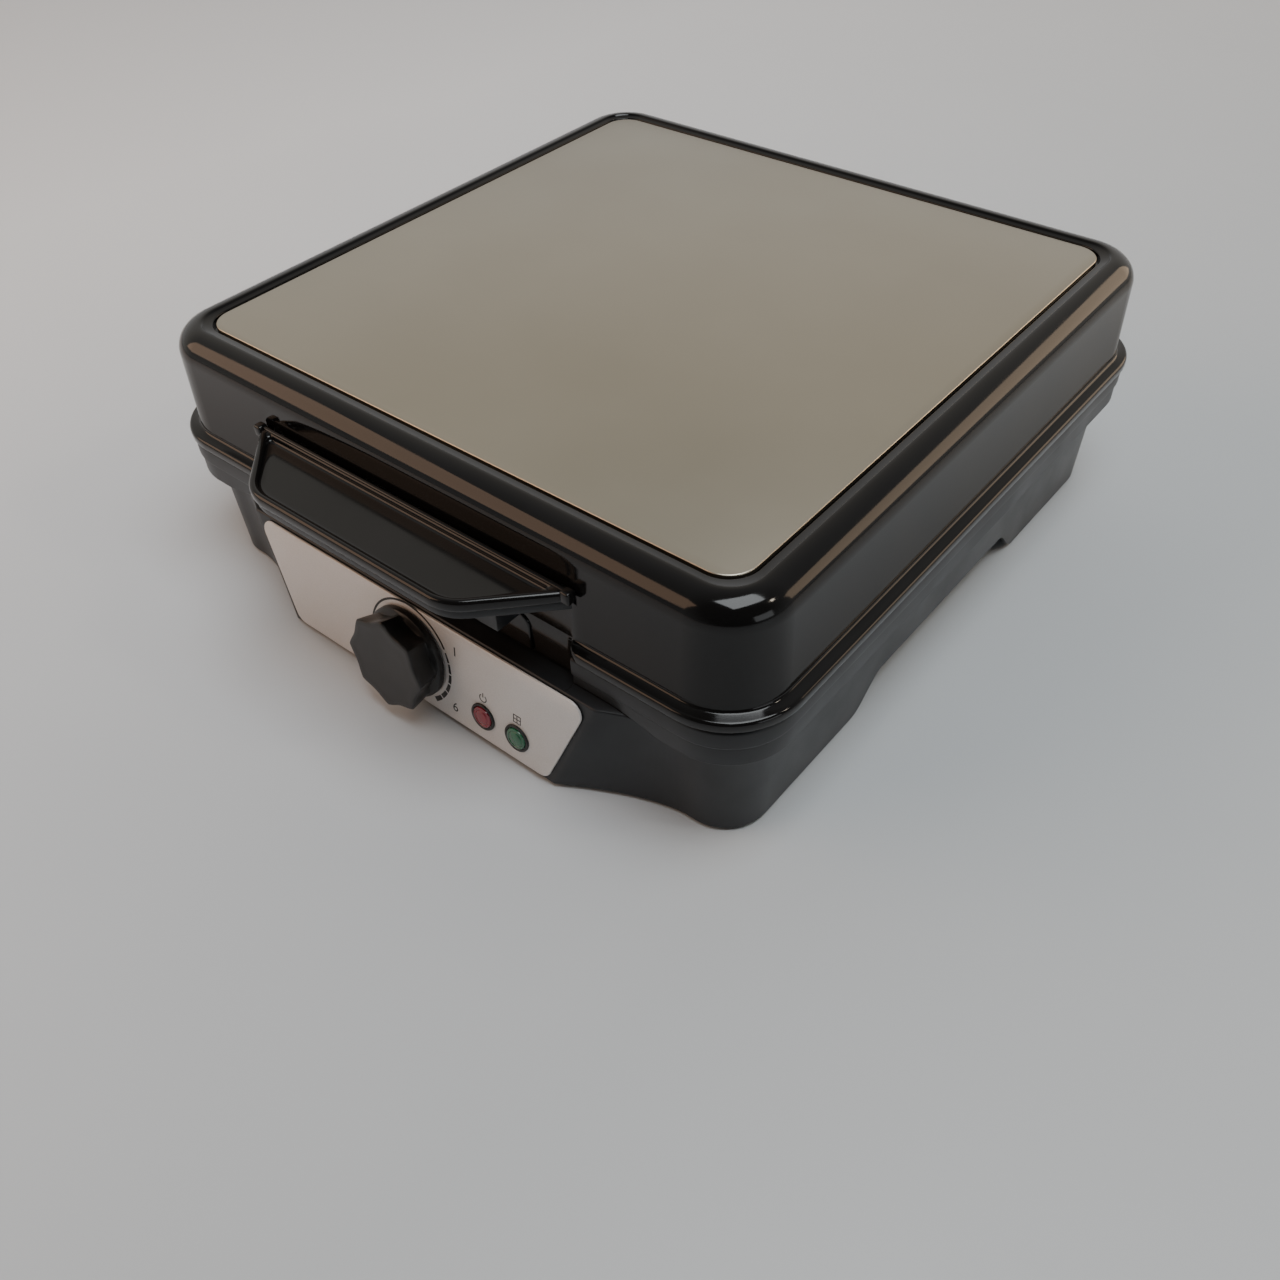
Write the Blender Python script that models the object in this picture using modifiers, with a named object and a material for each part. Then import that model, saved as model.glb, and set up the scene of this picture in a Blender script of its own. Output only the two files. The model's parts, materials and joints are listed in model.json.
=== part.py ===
"""Square four-slice waffle maker with a hinged lid, a front handle and a browning control.

Frame: origin under the middle of the whole outline, on the surface it stands on, +X to
the right seen from the front, the front faces -Y, +Z up.  Metres.  Every piece is laid
out about the middle of the cooking plates, and the last step moves it all to the origin.
"""
import math

import bmesh
import bpy
from mathutils import Matrix, Vector

MM = 0.001
GAP = 0.3 * MM                 # between pieces that touch
CORNER_STEPS = 5               # segments in a rounded corner

# Heights of the two halves
PARTING_Z = 57.0 * MM          # plane where the lid meets the base
PARTING_GAP = 0.3 * MM         # each half stays this far from that plane
LID_H = 43.0 * MM              # from that plane to the top face of the steel panel
TOP_Z = PARTING_Z + LID_H
SHELL_BOTTOM_Z = 1.0 * MM      # lower edge of the base wall at its corners
WALL = 2.4 * MM                # moulded wall thickness
DECK = 2.2 * MM                # thickness of the deck round each cooking plate

# Outline of the base and of the lid (half sizes of rounded squares)
BASE_HALF = 132.0 * MM
BASE_RADIUS = 18.0 * MM
BASE_DRAFT = 1.6 * MM          # the wall leans in this much from shoulder to floor
BASE_UNDERCUT_H = 17.0 * MM    # the wall ends this far below the parting plane
BASE_SHOULDER_Z = PARTING_Z - BASE_UNDERCUT_H
BASE_FLANGE_OUT = 6.4 * MM
BASE_FLANGE_H = 15.2 * MM      # a bead with a plain band under it
BASE_BEAD_H = 7.6 * MM
BASE_BAND_IN = 0.7 * MM        # the band stands this far behind the bead
LID_OVERHANG = 2.4 * MM        # the lid's wall stands this far outside the base's
LID_HALF = BASE_HALF + LID_OVERHANG
LID_RADIUS = BASE_RADIUS + 4.0 * MM
LID_FLARE = 0.6 * MM
LID_FLANGE_OUT = 5.3 * MM
LID_FLANGE_H = 4.6 * MM
SHOULDER_OUT = 9.9 * MM        # width of the rounded shoulder of the lid
SHOULDER_H = 9.0 * MM
SHOULDER_STEPS = 5
CREST = 0.6 * MM               # the shoulder's inner crest stands above the panel

# Steel top panel
RIM_W = 4.5 * MM               # from the panel's edge to the shoulder's crest
PANEL_HALF = LID_HALF - SHOULDER_OUT - RIM_W
PANEL_RADIUS = 10.0 * MM
PANEL_T = 1.6 * MM
PANEL_CLEAR = 1.2 * MM         # open line between the panel and the rim
LEDGE_W = 16.0 * MM            # ledge that carries the panel
LEDGE_T = 2.4 * MM

# Arches between the feet
ARCH_Z = 14.0 * MM
ARCH_HALF = 44.0 * MM
ARCH_RAMP = 17.0 * MM

# Console on the front of the base
CONSOLE_TILT = math.radians(7.5)
CONSOLE_RISE = 4.2 * MM        # its top edge above the shoulder of the base
CONSOLE_TOP_Z = BASE_SHOULDER_Z + CONSOLE_RISE
CONSOLE_BOTTOM_Z = 1.4 * MM
CONSOLE_OUT = 10.1 * MM        # reach of its top edge beyond the base outline
CONSOLE_TOP_HALF = 84.0 * MM
CONSOLE_BOTTOM_HALF = 67.5 * MM
BAND_ABOVE_CONSOLE = 0.9 * MM  # the flange's lower edge clears the console by this
CONSOLE_FADE_X = BASE_HALF - 22.0 * MM       # where its sides have run out into the wall
LABEL_T = 0.8 * MM
LABEL_BORDER = 2.6 * MM        # black margin at its two sides
LABEL_TOP_BORDER = 0.9 * MM
LABEL_BOTTOM_BORDER = 1.8 * MM
LABEL_RADIUS = 5.0 * MM

# Apron of the lid, which drops in front of the base over the console
APRON_HALF = 70.0 * MM
APRON_BOTTOM_Z = CONSOLE_TOP_Z + 0.8 * MM
APRON_GAP = 0.9 * MM
PAD_HALF = 51.4 * MM
PAD_TOP_Z = 60.4 * MM
PAD_OUT = 1.0 * MM

# Handle
HANDLE_BACK_HALF = 75.0 * MM
HANDLE_FRONT_HALF = 46.0 * MM
HANDLE_REACH = 29.3 * MM       # from the lid's wall to the front edge
HANDLE_FRONT_Y = -(LID_HALF + HANDLE_REACH)
HANDLE_RISE = 26.4 * MM        # its top above the parting plane
HANDLE_TOP_Z = PARTING_Z + HANDLE_RISE
HANDLE_UPPER_T = 4.2 * MM
HANDLE_COVER_T = 3.4 * MM
HANDLE_SPLIT_Z = HANDLE_TOP_Z - HANDLE_UPPER_T
HANDLE_BOTTOM_Z = HANDLE_SPLIT_Z - HANDLE_COVER_T
HANDLE_RADIUS = 18.0 * MM
HANDLE_BEAD = 3.2 * MM
HANDLE_DISH = 2.0 * MM
HANDLE_CLEAR = 0.8 * MM
HANDLE_SCREW_X = 45.0 * MM
HANDLE_SCREW_Z = HANDLE_BOTTOM_Z - 4.8 * MM
HANDLE_BLOCK = 8.0 * MM        # half width of the two blocks that take the screws

# Browning control and lamps, placed on the console's face
KNOB_DROP = 20.5 * MM          # below the face's top edge, along the slope
KNOB_R = 17.8 * MM
KNOB_H = 11.8 * MM
KNOB_SKIRT_H = 2.6 * MM
KNOB_FLUTES = 8
KNOB_FLUTE_R = 18.4 * MM
KNOB_FLUTE_DEPTH = 1.7 * MM
KNOB_CLEAR = 0.6 * MM          # between the knob and the label
KNOB_BORE = 8.0 * MM
SHAFT_R = 3.0 * MM
SHAFT_CLEAR = 0.3 * MM
SHAFT_HOLE_CLEAR = 0.9 * MM
THERMOSTAT = (30 * MM, 11 * MM, 13.5 * MM)   # across, up the slope, deep
THERMOSTAT_BACK = 6.5 * MM     # its front face lies this far behind the console's face
THERMOSTAT_RISE = 2.5 * MM     # its middle sits above the shaft
LAMP_DROP = 30.9 * MM
LAMP_XS = {"power": 35.5 * MM, "ready": 51.4 * MM}
LAMP_R = 4.0 * MM
LAMP_DOME = 1.0 * MM
LAMP_HOLDER_WALL = 0.5 * MM
LAMP_FLANGE_R = 5.6 * MM
LAMP_FLANGE_T = 0.9 * MM
LAMP_DEPTH = 9.0 * MM
BULB_R = 2.2 * MM
BULB_L = 10.0 * MM

# Cooking plates
PLATE_INSET = 15.0 * MM        # the plates stay this far inside the base's outline
PLATE_HALF = BASE_HALF - PLATE_INSET
PLATE_RIM = 4.0 * MM
PLATE_DIVIDER = 4.0 * MM
PLATE_DEPTH = 11.7 * MM        # from the rim to the bottom of a cavity
PLATE_FLOOR = 3.0 * MM
PEG_ROWS = 4
PEG_BASE = 19.0 * MM
PEG_DRAFT = 2.0 * MM
PEG_H = 9.5 * MM
DECK_CLEAR = 1.5 * MM
DECK_HALF = PLATE_HALF + DECK_CLEAR
DECK_RADIUS = 3.0 * MM

# Heaters and heat shields
HEATER_R = 3.0 * MM
SHIELD_HALF = PLATE_HALF - 9.0 * MM
HEATER_END_Y = SHIELD_HALF + 4.0 * MM
HEATER_END_X = 12.0 * MM
HEATER_HALF = 72.0 * MM
HEATER_BEND = 22.0 * MM
SHIELD_T = 1.0 * MM
SHIELD_DEPTH = 12.0 * MM
SHIELD_RADIUS = 14.0 * MM

# Fixings
SCREW_R = 1.5 * MM
SCREW_HOLE_R = 1.9 * MM
SCREW_HEAD_R = 3.2 * MM
SCREW_HEAD_H = 2.0 * MM
BOSS_R = 4.2 * MM
BOSS_X = DECK_HALF + BOSS_R + 0.9 * MM
BOSS_Y = 72.0 * MM
PLATE_BOSS_R = 5.0 * MM
PLATE_BOSS_AT = 40.0 * MM

# Bottom cover and feet
COVER_T = 2.0 * MM
COVER_Z = ARCH_Z + 1.0 * MM
COVER_CLEAR = 0.8 * MM
COVER_TONGUE_HALF = 64.0 * MM  # front tongue that closes the console from below
COVER_TONGUE_OUT = 7.0 * MM
VENT_W = 3.0 * MM
VENT_L = 34.0 * MM
VENTS = 4
FOOT_R = 9.0 * MM
FOOT_H = 6.0 * MM
FOOT_AT = BASE_HALF - 24.0 * MM
FOOT_STEM_R = 3.0 * MM
FOOT_STEM_H = 4.0 * MM

# Hinge
HINGE_BEHIND = 6.3 * MM        # the pin stands this far behind the lid's flange
HINGE_Y = LID_HALF + LID_FLANGE_OUT + HINGE_BEHIND
HINGE_Z = PARTING_Z
HINGE_X = 62.0 * MM
PIN_R = 2.0 * MM
PIN_CLEAR = 0.35 * MM
KNUCKLE_R = 5.0 * MM
KNUCKLE_W = 13.0 * MM
EAR_W = 5.0 * MM
EAR_CLEAR = 0.5 * MM

BRACKET_SCREW_Z = BASE_SHOULDER_Z - 7.5 * MM
BRACKET_T = 1.8 * MM
ARM_T = 5.5 * MM
ARM_TOP_Z = PARTING_Z + 17.0 * MM
ARM_SCREW_Z = ARM_TOP_Z - 4.0 * MM

# Mains entry and wiring
GLAND_X = -30.0 * MM
GLAND_Z = 28.0 * MM
GLAND_R = 6.7 * MM
GLAND_BORE_R = 4.2 * MM
GLAND_FLANGE_R = 9.5 * MM
WIRE_R = 1.3 * MM
WIRE_RUN_X = 61.0 * MM         # the long wires run this far from the middle,
WIRE_RUN_Y = 60.0 * MM         # as far forward and back as this
WIRE_LEAD = 8.0 * MM           # straight start of a wire
WIRE_BEND = 6.0 * MM
TERMINAL_Z = COVER_Z + COVER_T + 1.5 * MM    # underside of the terminal block
TERMINAL_BACK_Y = BASE_HALF - 14.0 * MM
TERMINAL_LOW = (-48 * MM, TERMINAL_BACK_Y - 18 * MM, TERMINAL_Z)
TERMINAL_HIGH = (-14 * MM, TERMINAL_BACK_Y, TERMINAL_Z + 9.5 * MM)
FUSE_Y = -(BASE_HALF - 32.0 * MM)
FUSE_Z = TERMINAL_Z + 5.5 * MM
FUSE_START = (-44 * MM, FUSE_Y, FUSE_Z)
FUSE_END = (-30 * MM, FUSE_Y, FUSE_Z)
FUSE_R = 2.2 * MM

# Worked out from the values above
BASE_TOP_Z = PARTING_Z - PARTING_GAP
LID_BOTTOM_Z = PARTING_Z + PARTING_GAP
LOWER_BACK_Z = BASE_TOP_Z - PLATE_DEPTH - PLATE_FLOOR    # underside of the lower plate
UPPER_BACK_Z = LID_BOTTOM_Z + PLATE_DEPTH + PLATE_FLOOR  # top of the upper plate
LAMP_HOLE_R = LAMP_R + LAMP_HOLDER_WALL + 2 * GAP
LABEL_FACE = GAP + LABEL_T                               # its face beyond the console's
FRONT_END_X = CONSOLE_FADE_X - 4 * MM                    # the last of the front points
FRONT_XS = [0.0, 35 * MM, APRON_HALF, APRON_HALF + 1 * MM, APRON_HALF + 3 * MM,
            APRON_HALF + 6 * MM, CONSOLE_TOP_HALF,
            *(CONSOLE_TOP_HALF + (FRONT_END_X - CONSOLE_TOP_HALF) * share
              for share in (0.27, 0.59, 1.0))]

parts = None
tools = None


# ---------------------------------------------------------------- scene helpers

def clear_scene():
    for obj in list(bpy.data.objects):
        bpy.data.objects.remove(obj, do_unlink=True)


def add_collection(name):
    collection = bpy.data.collections.new(name)
    bpy.context.scene.collection.children.link(collection)
    return collection


def material(name, colour, roughness, metallic=0.0):
    mat = bpy.data.materials.new(name)
    mat.use_nodes = True
    shader = mat.node_tree.nodes["Principled BSDF"]
    shader.inputs["Base Color"].default_value = (*colour, 1.0)
    shader.inputs["Roughness"].default_value = roughness
    shader.inputs["Metallic"].default_value = metallic
    return mat


def object_from_bmesh(name, bm, mat=None, smooth_angle=35):
    """Closes a bmesh into an object; one without a material is a cutter or a joined-in form."""
    bmesh.ops.recalc_face_normals(bm, faces=bm.faces)
    mesh = bpy.data.meshes.new(name)
    bm.to_mesh(mesh)
    bm.free()
    obj = bpy.data.objects.new(name, mesh)
    if mat is None:
        tools.objects.link(obj)
        obj.hide_render = True
        obj.display_type = 'WIRE'
    else:
        parts.objects.link(obj)
        mesh.materials.append(mat)
    mesh.shade_smooth()
    mesh.set_sharp_from_angle(angle=math.radians(smooth_angle))
    return obj


def boolean(obj, tool, operation='DIFFERENCE'):
    modifier = obj.modifiers.new(tool.name, 'BOOLEAN')
    modifier.operation = operation
    modifier.solver = 'EXACT'
    modifier.object = tool


def bevel(obj, width, segments=2, angle=40):
    modifier = obj.modifiers.new("edges", 'BEVEL')
    modifier.width = width
    modifier.segments = segments
    modifier.limit_method = 'ANGLE'
    modifier.angle_limit = math.radians(angle)


def turn_to(axis):
    """Rotation that takes +Z to the given direction."""
    return Vector((0, 0, 1)).rotation_difference(Vector(axis)).to_matrix().to_4x4()


# ---------------------------------------------------------------- shape helpers

def box(name, low, high, mat=None):
    bm = bmesh.new()
    bmesh.ops.create_cube(bm, size=1.0)
    size = Vector(high) - Vector(low)
    bmesh.ops.scale(bm, vec=size, verts=bm.verts)
    bmesh.ops.translate(bm, vec=(Vector(low) + Vector(high)) / 2, verts=bm.verts)
    return object_from_bmesh(name, bm, mat)


def cylinder(name, radius, start, end, mat=None, segments=16):
    """A round bar from one point to another."""
    start = Vector(start)
    end = Vector(end)
    length = (end - start).length
    bm = bmesh.new()
    bmesh.ops.create_cone(bm, cap_ends=True, segments=segments, radius1=radius,
                          radius2=radius, depth=length)
    place = Matrix.Translation((start + end) / 2) @ turn_to((end - start) / length)
    bmesh.ops.transform(bm, matrix=place, verts=bm.verts)
    return object_from_bmesh(name, bm, mat)


def turned(name, profile, origin, axis, mat, steps=16):
    """A closed ring or a solid of revolution; the profile's outer side runs top to bottom."""
    bm = bmesh.new()
    verts = [bm.verts.new((r, 0, z)) for r, z in profile]
    closed = min(r for r, z in profile) > 0
    pairs = list(zip(verts, verts[1:]))
    if closed:
        pairs.append((verts[-1], verts[0]))
    for a, b in pairs:
        bm.edges.new((a, b))
    mesh = bpy.data.meshes.new(name)
    bm.to_mesh(mesh)
    bm.free()
    obj = bpy.data.objects.new(name, mesh)
    parts.objects.link(obj)
    mesh.materials.append(mat)
    screw = obj.modifiers.new("turn", 'SCREW')
    screw.steps = steps
    screw.render_steps = steps
    screw.use_merge_vertices = True
    screw.merge_threshold = 0.00002
    screw.use_smooth_shade = True
    obj.matrix_world = Matrix.Translation(origin) @ turn_to(axis)
    return obj


def fillet(points, radii, steps=CORNER_STEPS):
    """Rounds the corners of a closed outline, one radius to each corner."""
    outline = []
    count = len(points)
    for i, (point, radius) in enumerate(zip(points, radii)):
        here = Vector(point)
        before = (Vector(points[i - 1]) - here).normalized()
        after = (Vector(points[(i + 1) % count]) - here).normalized()
        if radius <= 0:
            outline.append(here)
            continue
        half = before.angle(after) / 2
        centre = here + (before + after).normalized() * radius / math.sin(half)
        start = here + before * radius / math.tan(half) - centre
        end = here + after * radius / math.tan(half) - centre
        sweep = start.angle_signed(end)
        for k in range(steps + 1):
            turn = -sweep * k / steps
            spoke = Matrix.Rotation(turn, 2) @ start
            outline.append(centre + spoke)
    return outline


def square(half_x, half_y):
    return [(-half_x, -half_y), (half_x, -half_y), (half_x, half_y), (-half_x, half_y)]


def plate(name, outline, thickness, place, mat=None):
    """A flat outline extruded on both sides of its plane, made from a filled curve."""
    curve = bpy.data.curves.new(name, 'CURVE')
    curve.dimensions = '2D'
    curve.fill_mode = 'BOTH'
    curve.extrude = thickness / 2
    spline = curve.splines.new('POLY')
    spline.points.add(len(outline) - 1)
    for point, (x, y) in zip(spline.points, outline):
        point.co = (x, y, 0, 1)
    spline.use_cyclic_u = True
    guide = bpy.data.objects.new(name + "_outline", curve)
    bpy.context.scene.collection.objects.link(guide)
    guide.matrix_world = place
    obj = mesh_from_curve(name, guide, mat)
    return obj


def mesh_from_curve(name, guide, mat):
    """Turns a curve object into a welded mesh object and removes the curve."""
    bpy.context.view_layer.update()
    evaluated = guide.evaluated_get(bpy.context.evaluated_depsgraph_get())
    mesh = bpy.data.meshes.new_from_object(evaluated)
    bm = bmesh.new()
    bm.from_mesh(mesh)
    bmesh.ops.remove_doubles(bm, verts=bm.verts, dist=0.00001)
    bmesh.ops.dissolve_limit(bm, angle_limit=math.radians(0.1), verts=bm.verts, edges=bm.edges)
    bmesh.ops.transform(bm, matrix=guide.matrix_world, verts=bm.verts)
    bpy.data.objects.remove(guide, do_unlink=True)
    bpy.data.meshes.remove(mesh)
    return object_from_bmesh(name, bm, mat)


def tube(name, points, radius, mat, resolution=2):
    """A round wire or rod through the given points."""
    curve = bpy.data.curves.new(name, 'CURVE')
    curve.dimensions = '3D'
    curve.bevel_depth = radius
    curve.bevel_resolution = resolution
    curve.use_fill_caps = True
    spline = curve.splines.new('POLY')
    spline.points.add(len(points) - 1)
    for point, co in zip(spline.points, points):
        point.co = (*co, 1)
    guide = bpy.data.objects.new(name + "_path", curve)
    bpy.context.scene.collection.objects.link(guide)
    return mesh_from_curve(name, guide, mat)


def rounded_path(points, reach, steps=4):
    """A route of straight legs whose bends start at most reach before each corner."""
    route = [Vector(p) for p in points]
    path = [route[0]]
    for before, corner, after in zip(route, route[1:], route[2:]):
        into = before - corner
        onward = after - corner
        start = corner + into.normalized() * min(reach, 0.45 * into.length)
        end = corner + onward.normalized() * min(reach, 0.45 * onward.length)
        for k in range(steps + 1):
            t = k / steps
            path.append(start * (1 - t) ** 2 + corner * (2 * t * (1 - t)) + end * t ** 2)
    path.append(route[-1])
    return path


def loft(name, rings, mat, closed):
    """Skins rings of equal count; closed joins the last ring to the first, else caps them."""
    bm = bmesh.new()
    rows = [[bm.verts.new(co) for co in ring] for ring in rings]
    count = len(rows[0])
    pairs = list(zip(rows, rows[1:]))
    if closed:
        pairs.append((rows[-1], rows[0]))
    for lower, upper in pairs:
        for i in range(count):
            j = (i + 1) % count
            bm.faces.new((lower[i], lower[j], upper[j], upper[i]))
    bmesh.ops.triangulate(bm, faces=bm.faces)
    if not closed:
        bm.faces.new(rows[0])
        bm.faces.new(rows[-1])
    return object_from_bmesh(name, bm, mat)


def front_positions():
    return [-x for x in reversed(FRONT_XS[1:])] + FRONT_XS


def ring(half, radius, z, front=None):
    """One level of a shell: its front points run left to right, then round the other sides.

    front(x) may give a different (x, y, z) for a point of the straight front.
    """
    points = []
    centre = half - radius
    squeeze = min(1.0, (centre - 0.5 * MM) / FRONT_XS[-1])
    for x in front_positions():
        if front is None:
            points.append(Vector((x * squeeze, -half, z)))
        else:
            points.append(Vector(front(x)))
    corners = [(1, -1, -90), (1, 1, 0), (-1, 1, 90), (-1, -1, 180)]
    for sx, sy, start in corners:
        for k in range(CORNER_STEPS + 1):
            angle = math.radians(start + 90 * k / CORNER_STEPS)
            x = sx * centre + radius * math.cos(angle)
            y = sy * centre + radius * math.sin(angle)
            points.append(Vector((x, y, z)))
    return points


# ---------------------------------------------------------------- console geometry

CONSOLE_TOP = Vector((0, -(BASE_HALF + CONSOLE_OUT), CONSOLE_TOP_Z))
CONSOLE_NORMAL = Vector((0, -math.cos(CONSOLE_TILT), math.sin(CONSOLE_TILT)))
CONSOLE_DOWN = Vector((0, -math.sin(CONSOLE_TILT), -math.cos(CONSOLE_TILT)))
CONSOLE_LENGTH = (CONSOLE_TOP_Z - CONSOLE_BOTTOM_Z) / math.cos(CONSOLE_TILT)


def on_console(x, drop, out=0.0):
    """A point of the console's face: across, down the slope and out along its normal."""
    return CONSOLE_TOP + Vector((x, 0, 0)) + CONSOLE_DOWN * drop + CONSOLE_NORMAL * out


def console_frame(x, drop, out=0.0):
    """Local frame on the face: X across, Y up the slope, Z out."""
    axes = Matrix((Vector((1, 0, 0)), -CONSOLE_DOWN, CONSOLE_NORMAL)).transposed()
    return Matrix.Translation(on_console(x, drop, out)) @ axes.to_4x4()


def console_left(placed, corner_half):
    """What is left of the console at this distance from the middle: 1 across it, then fading."""
    return min(1.0, (CONSOLE_FADE_X - placed) / (CONSOLE_FADE_X - corner_half))


def console_level(corner_half, reach, z, wall_y, wall_z):
    """Front points of a level: flat across the console, then fading into the wall."""
    last = FRONT_XS[-1]

    def front(x):
        across = abs(x)
        if across <= CONSOLE_TOP_HALF:
            placed = across * corner_half / CONSOLE_TOP_HALF
        else:
            share = (across - CONSOLE_TOP_HALF) / (last - CONSOLE_TOP_HALF)
            placed = corner_half + share * (last - corner_half)
        left = console_left(placed, corner_half)
        return (math.copysign(placed, x), wall_y - reach * left ** 1.5,
                wall_z + (z - wall_z) * left)
    return front


def recess_level(half, z, recess_half, recess_z=None):
    """Front points that step back behind the lid's apron."""
    def front(x):
        if abs(x) <= APRON_HALF + 1 * MM:
            return (x, -recess_half, z if recess_z is None else recess_z)
        return (x, -half, z)
    return front


def band_level(half, z, recess_half, above):
    """The same for the lower edge of the flange, which rises to clear the console's top edge."""
    def front(x):
        left = console_left(abs(x), CONSOLE_TOP_HALF)
        edge_z = BASE_SHOULDER_Z + CONSOLE_RISE * left
        if abs(x) <= APRON_HALF + 1 * MM:
            return (x, -recess_half, edge_z + above - BAND_ABOVE_CONSOLE)
        return (x, -half, max(z, edge_z + above))
    return front


# ---------------------------------------------------------------- base

def base_shell_form(mat):
    """The moulded tub: flange, wall, console and the deck round the lower plate."""
    flange = BASE_HALF + BASE_FLANGE_OUT
    soft = 1.2 * MM
    low = BASE_HALF - BASE_DRAFT
    under = BASE_TOP_Z - BASE_FLANGE_H
    bead_z = BASE_TOP_Z - BASE_BEAD_H
    band = flange - BASE_BAND_IN
    edge = 0.6 * MM
    slope_run = (CONSOLE_TOP_Z - CONSOLE_BOTTOM_Z) * math.tan(CONSOLE_TILT)
    low_out = CONSOLE_OUT + slope_run + BASE_DRAFT
    inner = BASE_HALF - WALL
    neck = inner - 2 * MM
    recess = LID_HALF - WALL - APRON_GAP
    top = BASE_TOP_Z

    def level(half, z, front=None):
        return ring(half, BASE_RADIUS + half - BASE_HALF, z, front)

    def console(corner, reach, z, half, wall_z):
        return console_level(corner, reach, z, -half, wall_z)

    def step(half, z):
        return level(half, z, recess_level(half, z, recess))

    def lower(half, z, above):
        return level(half, z, band_level(half, z, recess, above))

    rings = [
        ring(DECK_HALF, DECK_RADIUS, top),
        step(flange - soft, top),
        step(flange, top - soft),
        step(flange, bead_z + soft),
        step(band, bead_z),
        lower(band, under + edge, BAND_ABOVE_CONSOLE + edge),
        lower(band - edge, under, BAND_ABOVE_CONSOLE),
        level(BASE_HALF, BASE_SHOULDER_Z,
              console(CONSOLE_TOP_HALF, CONSOLE_OUT, CONSOLE_TOP_Z, BASE_HALF, BASE_SHOULDER_Z)),
        level(low, SHELL_BOTTOM_Z,
              console(CONSOLE_BOTTOM_HALF, low_out, CONSOLE_BOTTOM_Z, low, SHELL_BOTTOM_Z)),
        level(low - WALL, SHELL_BOTTOM_Z,
              console(CONSOLE_BOTTOM_HALF - WALL, low_out, CONSOLE_BOTTOM_Z, low - WALL,
                      SHELL_BOTTOM_Z)),
        level(inner, BASE_SHOULDER_Z - WALL,
              console(CONSOLE_TOP_HALF - WALL, CONSOLE_OUT, CONSOLE_TOP_Z - WALL, inner,
                      BASE_SHOULDER_Z - WALL)),
        level(neck, BASE_SHOULDER_Z, recess_level(neck, BASE_SHOULDER_Z, neck,
                                                  CONSOLE_TOP_Z - WALL)),
        level(neck, top - DECK),
        ring(DECK_HALF, DECK_RADIUS, top - DECK),
    ]
    return loft("base_shell", rings, mat, closed=True)


def arch_outline():
    """Half-height of the opening between two feet, with an S-shaped run-in at each end."""
    steps = 6
    right = []
    for k in range(steps + 1):
        t = k / steps
        rise = t * t * (3 - 2 * t)
        right.append((ARCH_HALF + ARCH_RAMP * (1 - t), ARCH_Z * rise))
    left = [(-x, z) for x, z in reversed(right)]
    floor = -5 * MM
    return [(left[-1][0], floor), (right[0][0], floor)] + right + left


def cut_arches(shell):
    outline = arch_outline()
    upright = Matrix.Rotation(math.pi / 2, 4, 'X')
    sideways = Matrix.Rotation(math.pi / 2, 4, 'Z') @ upright
    boolean(shell, plate("side_arches", outline, 4 * BASE_HALF, sideways))
    back = Matrix.Translation((0, BASE_HALF, 0)) @ upright
    boolean(shell, plate("rear_arch", outline, 30 * MM, back))


def corner_pairs(x, y):
    return [(sx * x, sy * y) for sx in (-1, 1) for sy in (-1, 1)]


def add_bosses(shell, deck_z, end_z, lug_z, bored):
    """Posts down the sides, each with a lug that carries a cooking plate."""
    lug_x = PLATE_HALF - 5 * MM
    up = 1 if end_z > deck_z else -1
    for i, (x, y) in enumerate(corner_pairs(BOSS_X, BOSS_Y)):
        side = math.copysign(1, x)
        name = f"{shell.name}_boss_{i}"
        boss = cylinder(name, BOSS_R, (x, y, deck_z - up * MM), (x, y, end_z), segments=12)
        boolean(shell, boss, 'UNION')
        low = (min(side * lug_x, x), y - 3 * MM, min(lug_z, lug_z + up * 4 * MM))
        high = (max(side * lug_x, x), y + 3 * MM, max(lug_z, lug_z + up * 4 * MM))
        boolean(shell, box(f"{name}_lug", low, high), 'UNION')
        if bored:
            hole = cylinder(f"{name}_hole", SCREW_HOLE_R, (x, y, end_z + up * MM),
                            (x, y, end_z - up * 12 * MM), segments=10)
            boolean(shell, hole)


def make_base_shell(mat):
    shell = base_shell_form(mat)
    cut_arches(shell)
    add_bosses(shell, BASE_TOP_Z - DECK, COVER_Z + COVER_T + GAP, LOWER_BACK_Z - GAP, True)
    shaft = cylinder("shaft_hole", SHAFT_R + SHAFT_HOLE_CLEAR, on_console(0, KNOB_DROP, 5 * MM),
                     on_console(0, KNOB_DROP, -8 * MM))
    boolean(shell, shaft)
    for name, x in LAMP_XS.items():
        hole = cylinder(f"{name}_lamp_hole", LAMP_HOLE_R, on_console(x, LAMP_DROP, 5 * MM),
                        on_console(x, LAMP_DROP, -8 * MM))
        boolean(shell, hole)
    entry = cylinder("mains_entry", GLAND_R + GAP, (GLAND_X, BASE_HALF - 10 * MM, GLAND_Z),
                     (GLAND_X, BASE_HALF + 5 * MM, GLAND_Z), segments=20)
    boolean(shell, entry)
    for side in (-1, 1):
        hole = cylinder(f"bracket_hole_{side}", SCREW_HOLE_R,
                        (side * HINGE_X, BASE_HALF - 10 * MM, BRACKET_SCREW_Z),
                        (side * HINGE_X, BASE_HALF + 2 * MM, BRACKET_SCREW_Z), segments=10)
        boolean(shell, hole)
    return shell


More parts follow.
